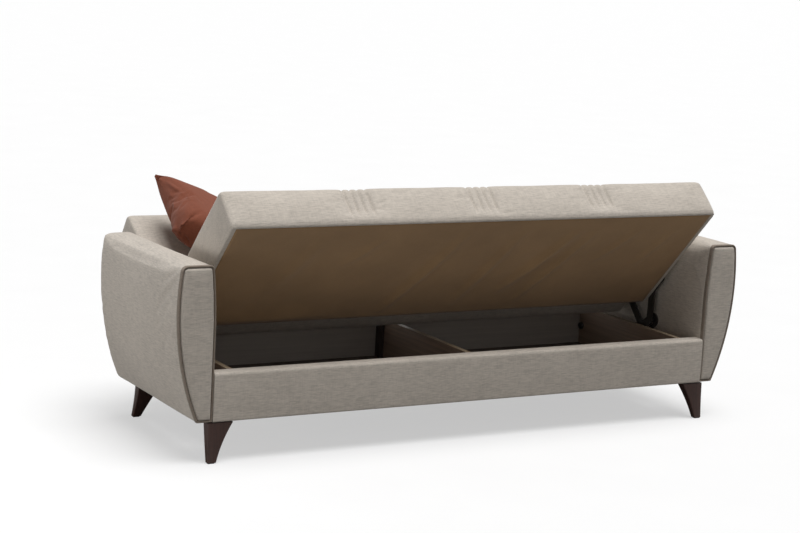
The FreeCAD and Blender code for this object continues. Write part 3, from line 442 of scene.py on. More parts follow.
def woven(name, colour, across, thread, contrast, soft):
    """Plain woven cloth of uneven yarn, such as linen, canvas or webbing: the eye sees short
    darker and lighter streaks along the weft, a fine grid of threads, and a soft pale edge from
    loose fibres. The threads are drawn coarser than the real 0.6 mm, so that they show."""
    made, tree, shader, at_place = finish_of(name, {
        "Roughness": 0.88, "Sheen Weight": soft, "Sheen Roughness": 0.5, "IOR": 1.45,
        "Specular IOR Level": 0.25})
    streak, cloud = 1 / 0.024, 30
    fine = 1 / (thread * 1.25)
    weft_scale, warp_scale = (streak, fine, fine), (fine, cloud, cloud)
    if across == "Y":
        weft_scale, warp_scale = (fine, streak, fine), (cloud, fine, cloud)
    weft_map = add(tree, "ShaderNodeMapping", {"Scale": weft_scale}, at_place)
    slub = add(tree, "ShaderNodeTexNoise", {"Scale": 1.0, "Detail": 2.0, "Roughness": 0.65},
               {"Vector": weft_map.outputs["Vector"]})
    warp_map = add(tree, "ShaderNodeMapping", {"Scale": warp_scale}, at_place)
    warp = add(tree, "ShaderNodeTexNoise", {"Scale": 1.0, "Detail": 1.0},
               {"Vector": warp_map.outputs["Vector"]})
    both = add(tree, "ShaderNodeMix", {"data_type": "FLOAT", "Factor": 0.22},
               {"A": slub.outputs["Fac"], "B": warp.outputs["Fac"]})
    worn = add(tree, "ShaderNodeTexNoise", {"Scale": 5.0, "Detail": 4.0, "Roughness": 0.6},
               at_place)
    tone = add(tree, "ShaderNodeMix", {"data_type": "FLOAT", "Factor": 0.22},
               {"A": both.outputs[0], "B": worn.outputs["Fac"]})
    yarn = add(tree, "ShaderNodeValToRGB", links={"Fac": tone.outputs[0]}, stops=[
        (0.36, shade(colour, 1 - contrast)), (0.50, shade(colour, 1.0)),
        (0.64, shade(colour, 1 + contrast * 0.8))])
    wave = 2 * math.pi / thread / 20
    grid_x = add(tree, "ShaderNodeTexWave", {"bands_direction": "X", "Scale": wave}, at_place)
    grid_z = add(tree, "ShaderNodeTexWave", {"bands_direction": "Z", "Scale": wave}, at_place)
    grid = add(tree, "ShaderNodeMath", {"operation": "MULTIPLY"},
               {0: grid_x.outputs["Fac"], 1: grid_z.outputs["Fac"]})
    height = add(tree, "ShaderNodeMath", {"operation": "ADD"},
                 {0: grid.outputs[0], 1: both.outputs[0]})
    bump = add(tree, "ShaderNodeBump", {"Strength": 0.35, "Distance": 0.0006},
               {"Height": height.outputs[0]})
    rough = add(tree, "ShaderNodeMapRange", {"To Min": 0.80, "To Max": 0.95},
                {"Value": slub.outputs["Fac"]})
    link(shader, {"Base Color": yarn.outputs["Color"], "Normal": bump.outputs["Normal"],
                  "Roughness": rough.outputs["Result"]})
    return made


def nonwoven(name, colour):
    """Spun-bonded lining cloth: the eye sees a matt felt of fine fibres with faint clouds."""
    made, tree, shader, at_place = finish_of(name, {
        "Roughness": 0.9, "Sheen Weight": 0.15, "Sheen Roughness": 0.6, "Specular IOR Level": 0.2})
    cloud = add(tree, "ShaderNodeTexNoise", {"Scale": 4.0, "Detail": 5.0, "Roughness": 0.6},
                at_place)
    fibre = add(tree, "ShaderNodeTexNoise", {"Scale": 420.0, "Detail": 2.0}, at_place)
    both = add(tree, "ShaderNodeMix", {"data_type": "FLOAT", "Factor": 0.35},
               {"A": cloud.outputs["Fac"], "B": fibre.outputs["Fac"]})
    tones = add(tree, "ShaderNodeValToRGB", links={"Fac": both.outputs[0]}, stops=[
        (0.35, shade(colour, 0.86)), (0.52, shade(colour, 1.0)), (0.68, shade(colour, 1.14))])
    bump = add(tree, "ShaderNodeBump", {"Strength": 0.25, "Distance": 0.0004},
               {"Height": fibre.outputs["Fac"]})
    link(shader, {"Base Color": tones.outputs["Color"], "Normal": bump.outputs["Normal"]})
    return made


def grained_wood(name, colour, along, gloss):
    """Beech, stained dark and varnished, or sawn pine: the eye sees faint long pores, under a
    satin gloss on the beech."""
    made, tree, shader, at_place = finish_of(name, {
        "Roughness": gloss, "Coat Weight": 0.25, "Coat Roughness": 0.25, "IOR": 1.5})
    scale = {"X": (6, 160, 160), "Z": (160, 160, 6)}[along]
    grain = add(tree, "ShaderNodeMapping", {"Scale": scale}, at_place)
    pores = add(tree, "ShaderNodeTexNoise", {
        "Scale": 1.0, "Detail": 6.0, "Roughness": 0.6, "Distortion": 0.4},
        {"Vector": grain.outputs["Vector"]})
    tones = add(tree, "ShaderNodeValToRGB", links={"Fac": pores.outputs["Fac"]}, stops=[
        (0.32, shade(colour, 0.62)), (0.5, shade(colour, 1.0)), (0.7, shade(colour, 1.35))])
    bump = add(tree, "ShaderNodeBump", {"Strength": 0.15, "Distance": 0.0003},
               {"Height": pores.outputs["Fac"]})
    link(shader, {"Base Color": tones.outputs["Color"], "Normal": bump.outputs["Normal"]})
    return made


def faced_board(name, colour, edge, contrast=0.18):
    """Chipboard or hardboard faced with printed paper, with raw sawn top edges: the eye sees a
    dull face and an edge of pressed chips."""
    made, tree, shader, at_place = finish_of(name, {"Roughness": 0.55, "IOR": 1.5})
    grain = add(tree, "ShaderNodeMapping", {"Scale": (3, 3, 120)}, at_place)
    printed = add(tree, "ShaderNodeTexNoise", {"Scale": 1.0, "Detail": 5.0, "Roughness": 0.6},
                  {"Vector": grain.outputs["Vector"]})
    face = add(tree, "ShaderNodeValToRGB", links={"Fac": printed.outputs["Fac"]}, stops=[
        (0.35, shade(colour, 1 - contrast)), (0.5, colour), (0.68, shade(colour, 1 + contrast))])
    chips = add(tree, "ShaderNodeTexVoronoi", {"Scale": 320.0}, at_place)
    raw = add(tree, "ShaderNodeValToRGB", links={"Fac": chips.outputs["Distance"]}, stops=[
        (0.0, shade(edge, 0.72)), (0.35, edge), (0.8, shade(edge, 1.15))])
    normal = at_place["Vector"].node.outputs["Normal"]
    facing = add(tree, "ShaderNodeSeparateXYZ", links={"Vector": normal})
    top = add(tree, "ShaderNodeMath", {"operation": "GREATER_THAN", 1: 0.6},
              {0: facing.outputs["Z"]})
    mixed = add(tree, "ShaderNodeMix", {"data_type": "RGBA"}, {
        "Factor": top.outputs[0], "A": face.outputs["Color"], "B": raw.outputs["Color"]})
    bump = add(tree, "ShaderNodeBump", {"Strength": 0.2, "Distance": 0.0003},
               {"Height": chips.outputs["Distance"]})
    link(shader, {"Base Color": mixed.outputs["Result"], "Normal": bump.outputs["Normal"]})
    return made


def mottled(name, colour, roughness, metallic, grit):
    """Steel, zinc plated or powder coated, or moulded plastic: the eye sees a dull, slightly
    mottled gloss."""
    made, tree, shader, at_place = finish_of(name, {"Metallic": metallic, "Roughness": roughness})
    spots = add(tree, "ShaderNodeTexNoise", {"Scale": grit, "Detail": 3.0}, at_place)
    tones = add(tree, "ShaderNodeValToRGB", links={"Fac": spots.outputs["Fac"]}, stops=[
        (0.35, shade(colour, 0.85)), (0.65, shade(colour, 1.1))])
    rough = add(tree, "ShaderNodeMapRange", {"To Min": roughness * 0.8, "To Max": roughness * 1.25},
                {"Value": spots.outputs["Fac"]})
    bump = add(tree, "ShaderNodeBump", {"Strength": 0.1, "Distance": 0.0002},
               {"Height": spots.outputs["Fac"]})
    link(shader, {"Base Color": tones.outputs["Color"], "Normal": bump.outputs["Normal"],
                  "Roughness": rough.outputs["Result"]})
    return made


FINISHES = {}


def finishes():
    """All materials of the sofa bed, made once."""
    if FINISHES:
        return FINISHES
    tone = colours()
    linen, thread = list(tone.linen), sizes().thread
    FINISHES.update({
        "linen": woven("linen_woven_across", linen, "X", thread, 0.19, 0.25),
        "arm_linen": woven("linen_woven_along_the_arms", linen, "Y", thread, 0.19, 0.25),
        # The piping's linen is darkened to 8A7E72, below the cover's tone: painted shade of the
        # groove between the front panel and the cord
        "piping": woven("linen_piping_with_painted_groove_shade", linear("8A7E72"), "X", thread, 0.15, 0.2),
        "lining": nonwoven("lining_spun_bonded", list(tone.lining)),
        "pillow": woven("cotton_canvas_woven", list(tone.pillow), "X", thread, 0.12, 0.10),
        "leg": grained_wood("beech_stained_and_varnished", list(tone.leg), "Z", 0.38),
        "pine": grained_wood("pine_sawn", linear("B59468"), "X", 0.75),
        # The divider's post is drawn near black
        "post": grained_wood("beech_drawn_near_black", linear("2A201B"), "Z", 0.6),
        "board": faced_board("chipboard_paper_faced", list(tone.board), linear("8A7A66")),
        "panel": faced_board("hardboard_faced", shade(list(tone.board), 0.9), linear("4A3D34")),
        # The mechanism's steel is dark, as such steel is, and its warm brown-grey tone is matched
        # to the shade round it beside the raised seat: painted shade
        "black": mottled("steel_dark_with_painted_shade_tone", linear("2A2622"), 0.6, 0.2, 900),
        "zinc": mottled("steel_zinc_plated", linear("B4B6B4"), 0.35, 1.0, 250),
        "plastic": mottled("polypropylene_moulded_black", linear("1A1918"), 0.45, 0.0, 700),
        "webbing": woven("webbing_woven", linear("2B2A28"), "X", thread, 0.3, 0.1),
        "grey_board": faced_board("chipboard_grey_faced", linear("B8B1AA"), linear("8A7A66"), 0.06),
    })
    return FINISHES


NODE_FINISHES = {
    "grey_board": ("rear_board",),
    "board": ("front_rail_board", "side_board_left", "side_board_right",
              "centre_divider", "arm_board_left", "arm_board_right"),
    "panel": ("bottom_panel_left", "bottom_panel_right"),
    "pine": ("bottom_battens", "corner_blocks", "seat_frame", "back_frame"),
    "post": ("divider_post",),
    "black": ("seat_plate_left", "seat_plate_right", "back_plate_left", "back_plate_right",
              "ratchet_housings", "lift_track_left", "lift_track_right", "leg_plates"),
    "zinc": ("hinge_pins", "seat_plate_bolts", "back_plate_bolts"),
    "plastic": ("foot_glides", "track_rollers", "arm_bolts"),
    "webbing": ("seat_webbing", "back_webbing"),
}


# Forms of the arms
def arc_points(centre, radius, start, end, count):
    """Points on an arc from one point towards another, without the last."""
    first = math.atan2(start[1] - centre[1], start[0] - centre[0])
    last = math.atan2(end[1] - centre[1], end[0] - centre[0])
    sweep = (last - first + math.pi) % (2 * math.pi) - math.pi
    return [(centre[0] + radius * math.cos(first + sweep * i / count),
             centre[1] + radius * math.sin(first + sweep * i / count)) for i in range(count)]


def arm_outline(inset):
    """An arm seen from the front, as points across and up, with an even inset all round."""
    width, crest, round_o, round_i = 0.128, 0.620, 0.021, 0.016
    outer_r, inner_r = 0.8776, 1.820
    outer, inner = (INNER + width - outer_r, BASE + 0.353), (INNER + inner_r, 0.400)
    z_o, z_i, top, low = crest - round_o, crest - round_i, crest - inset, BASE + inset
    corner_o = (outer[0] + math.sqrt((outer_r - round_o) ** 2 - (z_o - outer[1]) ** 2), z_o)
    corner_i = (inner[0] - math.sqrt((inner_r - round_i) ** 2 - (z_i - inner[1]) ** 2), z_i)
    foot = (outer[0] + math.sqrt((outer_r - inset) ** 2 - (low - outer[1]) ** 2), low)
    turn_o = math.atan2(corner_o[1] - outer[1], corner_o[0] - outer[0])
    turn_i = math.atan2(corner_i[1] - inner[1], corner_i[0] - inner[0])
    reach_o, reach_i = outer_r - inset, inner_r - inset
    meet_o = (outer[0] + reach_o * math.cos(turn_o), outer[1] + reach_o * math.sin(turn_o))
    meet_i = (inner[0] + reach_i * math.cos(turn_i), inner[1] + reach_i * math.sin(turn_i))
    start, lean = (INNER + inset, low), (INNER + inset, inner[1])
    points = straight(start, lean, 14) + arc_points(inner, reach_i, lean, meet_i, 10)
    above_i, above_o = (corner_i[0], top + 1), (corner_o[0], top + 1)
    points += arc_points(corner_i, max(round_i - inset, 0.001), meet_i, above_i, 6)
    points += straight((corner_i[0], top), (corner_o[0], top), 6)
    points += arc_points(corner_o, max(round_o - inset, 0.002), above_o, meet_o, 7)
    points += arc_points(outer, reach_o, meet_o, foot, 24)
    return points + straight(foot, start, 7)


def straight(start, end, count):
    """Points on a line, without the last."""
    return [(start[0] + (end[0] - start[0]) * i / count, start[1] + (end[1] - start[1]) * i / count)
            for i in range(count)]


def arm_rings(side, *stations):
    """An arm's outline at some stations: how far it is inset, and its place along the arm."""
    return [[(side * x, y, z) for x, z in arm_outline(inset)] for inset, y in stations]


class SOFABED_OT_arms(bpy.types.Operator):
    """Makes both arms: padded bodies, front panels and the piping between them"""

    bl_idname = "sofabed.arms"
    bl_label = "Arms"

    def execute(self, context):
        for side_name, side in (("left", -1), ("right", 1)):
            self.body(side_name, side)
            self.panel(side_name, side)
            self.piping(side_name, side)
        return {"FINISHED"}

    def body(self, side_name, side):
        """The padded body, a little smaller than its cover, which then swells."""
        front, rear = FRONT + 0.0100, REAR - 0.001
        piece = skin(f"arm_{side_name}_padded", arm_rings(
            side, (0.0015, front), (0.0, front + 0.004), (0.0, rear - 0.014),
            (0.004, rear - 0.004), (0.014, rear)))

        def pinned(points):
            """Held at the front seam and the flat underside."""
            near_front = np.clip(1 - (points[:, 1] - front) / 0.03, 0, 1)
            near_base = np.clip(1 - (points[:, 2] - BASE) / 0.03, 0, 1)
            return np.maximum(near_front, near_base)

        swollen(piece, 1.1, 0.005, pinned, frames=12, voxel=0.009)
        points, normals = points_of(piece), normals_of(piece)
        away = np.clip((points[:, 1] - front - 0.02) / 0.08, 0, 1)
        ripple = waves(points * np.array([1.0, 0.6, 1.6]), 11 + side, 9, 0.16, 0.42)
        points += normals * (ripple * 0.0007 * away)[:, None]
        points[:, 0] = side * np.maximum(side * points[:, 0], INNER + 0.0002)
        points[:, 2] = np.maximum(points[:, 2], BASE)
        points[:, 1] = np.maximum(points[:, 1], front)
        set_points(piece, points)
        dressed(piece, finishes()["arm_linen"], "base", [f"arm_body_{side_name}"])

    def panel(self, side_name, side):
        """The front panel, a thin pad of its own inside the piping."""
        piece = skin(f"arm_{side_name}_front_panel", arm_rings(
            side, (0.0085, FRONT + 0.0160), (0.0080, FRONT + 0.0070),
            (0.0088, FRONT + 0.0036), (0.0115, FRONT + 0.0010)))
        swollen(piece, 1.0, 0.003, lambda p: np.clip((p[:, 1] - FRONT - 0.004) / 0.004, 0, 1),
                frames=8, voxel=0.0045)
        dressed(piece, finishes()["linen"], "base", [f"arm_front_panel_{side_name}"])

    def piping(self, side_name, side):
        """The piping, a cord in a strip of the cover cloth, all round the arm's front, and the
        flange that sews it in. Their cloth is drawn darker than the cover: painted shade of the
        groove beside the cord."""
        bpy.ops.object.select_all(action="DESELECT")
        path = arm_rings(side, (0.0034, FRONT + 0.0065))[0]
        bpy.ops.mesh.primitive_circle_add(vertices=len(path), radius=1, fill_type="NOTHING")
        piece = named(f"arm_{side_name}_piping")
        set_points(piece, np.array(path, float))
        choose(piece)
        bpy.ops.object.convert(target="CURVE")
        piece = bpy.context.object
        piece.data.bevel_depth = sizes().piping
        piece.data.bevel_resolution = 3
        bpy.ops.object.convert(target="MESH")
        piece = bpy.context.object
        outward(piece, 0.00001)
        smooth(piece)
        flange = skin(f"arm_{side_name}_flange", arm_rings(
            side, (0.0015, FRONT + 0.0080), (0.0010, FRONT + 0.0180)))
        choose(piece, flange)
        bpy.ops.object.join()
        dressed(piece, finishes()["piping"], "base", [f"arm_piping_{side_name}"])


class SOFABED_OT_rail(bpy.types.Operator):
    """Makes the padded cover of the front rail and the two pads on it"""

    bl_idname = "sofabed.rail"
    bl_label = "Front rail"

    def execute(self, context):
        y, top, low_r, top_r, bulge = FRONT, RAIL_TOP, 0.005, 0.011, 0.0012
        rise, lip, board = top - BASE - low_r - top_r, y + 0.0503, y + 0.0317
        quarter = np.linspace(0, math.pi / 2, 6)
        outline = [(y + low_r * (1 - math.cos(a)), BASE + low_r * (1 - math.sin(a)))
                   for a in quarter[::-1]]
        outline += [(y - bulge * math.sin(math.pi * t), BASE + low_r + rise * t)
                    for t in np.linspace(0.1, 0.9, 9)]
        outline += [(y + top_r * (1 - math.cos(a)), top - top_r * (1 - math.sin(a)))
                    for a in quarter]
        outline += [(y + 0.020, top), (y + 0.032, top), (y + 0.0453, top),
                    (y + 0.0490, top - 0.0015), (lip, top - 0.0050), (lip, top - 0.0100),
                    (board, top - 0.0100), (board, BASE + 0.08), (board, BASE)]
        end = INNER - 0.0001
        places = [-end, -end + 0.001, -end + 0.005, *np.linspace(-0.92, 0.92, 59), end - 0.005,
                  end - 0.001, end]
        piece = skin("front_rail_padded", [[(x, *point) for point in outline] for x in places])
        edit(piece, "FACE", lambda part: abs(part.normal.x) > 0.9, bpy.ops.mesh.inset,
             thickness=0.001)
        apply_modifier(piece, "SUBSURF", levels=1, render_levels=1)
        points, normals = points_of(piece), normals_of(piece)
        front = np.clip(-normals[:, 1], 0, 1)
        ripple = waves(points * np.array([0.5, 1, 1.5]), 5, 8, 0.10, 0.45)
        set_points(piece, points + normals * (ripple * 0.0005 * front)[:, None])
        creases(piece, [((-0.93, y, 0.27), (-0.80, y, 0.262), 0.010, -0.0012),
                        ((0.93, y, 0.268), (0.83, y, 0.255), 0.010, -0.0012),
                        ((-0.2, y, 0.276), (0.1, y, 0.274), 0.007, -0.0008)])
        smooth(piece)
        dressed(piece, finishes()["linen"], "base", ["front_rail_cover"])
        self.pads()
        return {"FINISHED"}

    def pads(self):
        """The two small pads under the closed seat, covered with the rail's cloth."""
        low, high = (Vector(corner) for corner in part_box("rest_pads"))
        room, sunk, length = 0.0009, 0.001, 0.070
        high.z -= room
        middle = (low + high) / 2
        bpy.ops.object.select_all(action="DESELECT")
        bpy.ops.mesh.primitive_cube_add(
            size=1, location=(high.x - length / 2, middle.y, middle.z - sunk / 2),
            scale=(length, high.y - low.y, high.z - low.z + sunk))
        right = named("rest_pad_right_soft")
        edit(right, "EDGE", lambda part: all(v.co.z > high.z - 0.001 for v in part.verts),
             bpy.ops.mesh.bevel, offset=0.0022, segments=4, affect="EDGES")
        edit(right, "EDGE", lambda part: abs(part.verts[0].co.z - part.verts[1].co.z) > 0.0002,
             bpy.ops.mesh.bevel, offset=0.0015, segments=2, affect="EDGES")
        outward(right)
        smooth(right, 60)
        left = copied(right, "rest_pad_left_soft")
        left.data.transform(Matrix.Translation((length - 2 * high.x, 0, 0)))
        for piece in (right, left):
            dressed(piece, finishes()["linen"], "base", ["rest_pads"])


class SOFABED_OT_rear_cover(bpy.types.Operator):
    """Makes the padded cover of the rear board"""

    bl_idname = "sofabed.rear_cover"
    bl_label = "Rear cover"

    def execute(self, context):
        low, high = (Vector(corner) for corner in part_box("rear_panel_cover"))
        middle, size = (low + high) / 2, high - low
        bpy.ops.object.select_all(action="DESELECT")
        bpy.ops.mesh.primitive_cube_add(size=1, location=middle, scale=size)
        piece = named("rear_cover_padded")
        edit(piece, "FACE", everything, bpy.ops.mesh.subdivide, number_cuts=40)
        points = points_of(piece)
        border, groove, puff = 0.012, 0.0022, 0.0015
        from_side = size.x / 2 - np.abs(points[:, 0])
        from_top = size.z / 2 - np.abs(points[:, 2] - middle.z)
        inside = np.clip(np.minimum(from_side, from_top) / border, 0, 1)
        ripple = waves(points * np.array([0.5, 1, 1.5]), 17, 8, 0.12, 0.5) * 0.0006
        shift = (puff + ripple) * inside
        shift -= groove * np.sqrt(1 - (1 - inside) ** 2) * (inside < 1)
        points[:, 1] += np.where(points[:, 1] > middle.y, shift, 0)
        set_points(piece, points)
        start, ends = high.z - 0.015, ((-0.93, -0.78, high.z - 0.04), (0.93, 0.80, high.z - 0.05))
        creases(piece, [((x, high.y, start), (far, high.y, z), 0.012, -0.0012)
                        for x, far, z in ends])
        outward(piece)
        smooth(piece, 50)
        dressed(piece, finishes()["linen"], "base", ["rear_panel_cover"])
        return {"FINISHED"}


def cushion_block(name, form, low_round, rear_round, head_round):
    """A cushion's core: a block whose lengthwise edges are rounded."""
    middle = ((form["front"] + form["rear"]) / 2, (form["low"] + form["high"]) / 2)
    bpy.ops.object.select_all(action="DESELECT")
    bpy.ops.mesh.primitive_cube_add(size=1, location=(0, *middle), scale=(
        form["half"] * 2 + COVER_EASE, form["rear"] - form["front"] - 0.002,
        form["high"] - form["low"]))
    piece = named(name)

    def edge_at(part, front, high):
        """Whether an edge along X lies at that corner."""
        a, b = (v.co for v in part.verts)
        if abs(a.y - b.y) + abs(a.z - b.z) > 1e-5:
            return False
        return (a.y < middle[0]) == front and (a.z > middle[1]) == high

    for front, high, radius in ((True, True, head_round), (True, False, low_round),
                                (False, True, head_round), (False, False, rear_round)):
        edit(piece, "EDGE", lambda part: edge_at(part, front, high), bpy.ops.mesh.bevel,
             offset=radius, segments=5, affect="EDGES")
    half = form["half"] - 0.004
    edit(piece, "EDGE", lambda part: all(abs(v.co.x) > half for v in part.verts)
         and any(v.co.z > form["low"] + 0.01 for v in part.verts),
         bpy.ops.mesh.bevel, offset=0.010, segments=3, affect="EDGES")
    return piece


def sew_channels(piece, form, plain_way):
    """Draws the sewn channels into a swollen cushion, apart from its underside and the long side
    that faces its neighbour, and keeps its ends clear of the arms."""
    points, normals = points_of(piece), normals_of(piece)
    exposed = np.clip((normals[:, 2] + 0.6) / 0.5, 0, 1)
    exposed *= np.clip((points[:, 2] - form["low"] - 0.022) / 0.03, 0, 1)
    exposed *= np.clip((0.8 - plain_way * normals[:, 1]) / 0.4, 0, 1)
    from_edge = np.hypot(points[:, 1] - form["front"], points[:, 2] - form["high"])
    exposed *= 0.45 + 0.55 * np.clip(from_edge / 0.05, 0, 1)
    shift = np.zeros(len(points))
    for seam in SEAMS:
        away = np.abs(points[:, 0] - seam)
        shift -= sizes().seam_depth * np.exp(-((away / 0.0038) ** 2))
        shift -= 0.0020 * np.exp(-((away / 0.012) ** 2))
    for group in SEAM_GROUPS:
        away = np.abs(points[:, 0] - group)
        shift -= 0.0022 * np.exp(-((away / 0.075) ** 4))
    ripple = waves(points * np.array([1.2, 0.7, 0.7]), 3, 10, 0.10, 0.50)
    shift += ripple * 0.0009
    points += normals * (shift * exposed)[:, None]
    limit = form["half"] + COVER_EASE
    points[:, 0] = np.clip(points[:, 0], -limit, limit)
    set_points(piece, points)


def cover_pins(points, form):
    """How firmly a cushion's cover is held while it swells: by its sewn channels, its underside,
    its end edges and its two upper long edges."""
    away = np.min([np.abs(points[:, 0] - seam) for seam in SEAMS], axis=0)
    seams = np.clip(1 - away / 0.008, 0, 1) * 0.9
    base = np.clip(1 - (points[:, 2] - form["low"]) / 0.022, 0, 1)
    from_end = form["half"] - np.abs(points[:, 0])
    from_side = np.minimum(points[:, 1] - form["front"], form["rear"] - points[:, 1])
    from_top = form["high"] - points[:, 2]
    ends = np.clip(1 - (from_end + np.minimum(from_side, from_top)) / 0.024, 0, 1)
    long_edges = np.clip(1 - (from_side + from_top) / 0.026, 0, 1) * 0.9
    return np.maximum(np.maximum(seams, base), np.maximum(ends, long_edges))


def cushion(name, form, rounds, plain_way, folds, reach, place):
    """A swollen cushion with its channels and folds, turned to its place. Rounds are the radii of
    its low front, low rear and upper edges, and reach is how far it may pass its front and rear."""
    piece = cushion_block(name, form, *rounds)
    swollen(piece, 3.0, sizes().swell, lambda p: cover_pins(p, form), frames=16,
            voxel=sizes().voxel)
    sew_channels(piece, form, plain_way)
    creases(piece, folds)
    wide = form["half"] + COVER_EASE
    kept_within(piece, (-wide, form["front"] - reach[0], form["low"]),
                (wide, form["rear"] + reach[1], form["high"] + 0.013))
    placed(piece, place)
    smooth(piece)
    return piece


def underside_sheet(name, form, margins, folds, place):
    """A cloth stapled over a cushion's underside, inside its margins at the ends, front and rear,
    with the folds that its pull gives it. Its edges lie flat, and it gets its thickness last."""
    ends, front, rear = margins
    wide, deep = form["half"] * 2 - ends * 2, form["rear"] - form["front"] - front - rear
    middle, level = (form["front"] + front + form["rear"] - rear) / 2, form["low"] - CLOTH_GAP
    bpy.ops.object.select_all(action="DESELECT")
    bpy.ops.mesh.primitive_grid_add(x_subdivisions=180, y_subdivisions=56, size=1,
                                    location=(0, middle, level))
    bpy.context.object.scale = (wide, deep, 1)
    piece = named(name)
    edit(piece, "FACE", everything, bpy.ops.mesh.flip_normals)
    creases(piece, folds)
    points = points_of(piece)
    from_side = wide / 2 - np.abs(points[:, 0])
    from_end = deep / 2 - np.abs(points[:, 1] - middle)
    share = np.clip(np.minimum(from_side, from_end) / 0.035, 0, 1)
    share = share * share * (3 - 2 * share)
    scallop = waves(points, 21, 6, 0.05, 0.16) * 0.0004
    points[:, 2] = level + (points[:, 2] - level) * share - np.abs(scallop) * share
    set_points(piece, points)
    apply_modifier(piece, "SOLIDIFY", thickness=0.001, offset=-1)
    placed(piece, place)
    smooth(piece)
    return piece, (wide, deep)


class SOFABED_OT_seat(bpy.types.Operator):
    """Makes the seat cushion and the lining under it"""

    bl_idname = "sofabed.seat"
    bl_label = "Seat"

    def execute(self, context):
        piece = cushion("seat_cushion_padded", SEAT, (0.018, 0.010, 0.020), 1, seat_folds(),
                        (0.012, 0.006), SEAT_PLACE)
        dressed(piece, finishes()["linen"], "seat", ["seat_cushion"])
        lining, flat = underside_sheet("seat_lining", SEAT, (0.013, 0.014, 0.008), lining_folds(),
                                       SEAT_PLACE)
        dressed(lining, finishes()["lining"], "seat", ["seat_underside_cloth"])
        return {"FINISHED"}


def lining_folds():
    """Folds of the lining that run back from near the seat's front, and one along its rear."""
    front, z = -0.322, SEAT["low"]
    lines = [((start, front, z), (end, rear, z), width, height)
             for start, end, rear, width, height in (
                 (-0.06, -0.21, 0.07, 0.017, 0.0140), (0.16, 0.06, 0.04, 0.018, 0.0120),
                 (0.38, 0.22, -0.02, 0.018, 0.0165), (0.46, 0.31, 0.05, 0.014, 0.0110),
                 (-0.58, -0.67, -0.08, 0.026, 0.0080), (-0.36, -0.45, -0.20, 0.013, 0.0065),
                 (0.64, 0.53, -0.16, 0.015, 0.0075), (0.80, 0.72, -0.12, 0.014, 0.0060))]
    return lines + [((-0.84, 0.085, z), (-0.42, 0.080, z), 0.045, 0.0140)]


def seat_folds():
    """Small folds of the seat's cover at its corners and seams, in the closed sofa."""
    chance = random.Random(8)
    front, top = SEAT["front"], SEAT["high"]
    lines = []
    for side in (-1, 1):
        lines.append(((side * 0.915, front + 0.02, top - 0.02),
                      (side * 0.84, front + 0.005, top - 0.07), 0.010, -0.0025))
        lines.append(((side * 0.91, front + 0.05, top), (side * 0.80, front + 0.10, top), 0.014,
                      -0.0025))
    for seam in SEAMS[::4] + SEAMS[3::4]:
        way = 1 if seam in SEAMS[3::4] else -1
        for _ in range(3):
            z = top - chance.uniform(0.03, 0.13)
            reach = chance.uniform(0.04, 0.09)
            lines.append(((seam, front, z), (seam + way * reach, front - 0.004,
                                             z + chance.uniform(-0.02, 0.02)), 0.006, -0.0016))
    return lines


class SOFABED_OT_back(bpy.types.Operator):
    """Makes the back cushion and the cloth behind it"""

    bl_idname = "sofabed.back"
    bl_label = "Back"

    def execute(self, context):
        piece = cushion("back_cushion_padded", BACK, (0.020, 0.032, 0.022), -1, [],
                        (0.006, 0.010), BACK_PLACE)
        dressed(piece, finishes()["linen"], "back", ["back_cushion"])
        cloth, flat = underside_sheet("back_rear_lining", BACK, (0.037, 0.037, 0.037), [],
                                      BACK_PLACE)
        dressed(cloth, finishes()["linen"], "back", ["back_rear_cloth"])
        return {"FINISHED"}


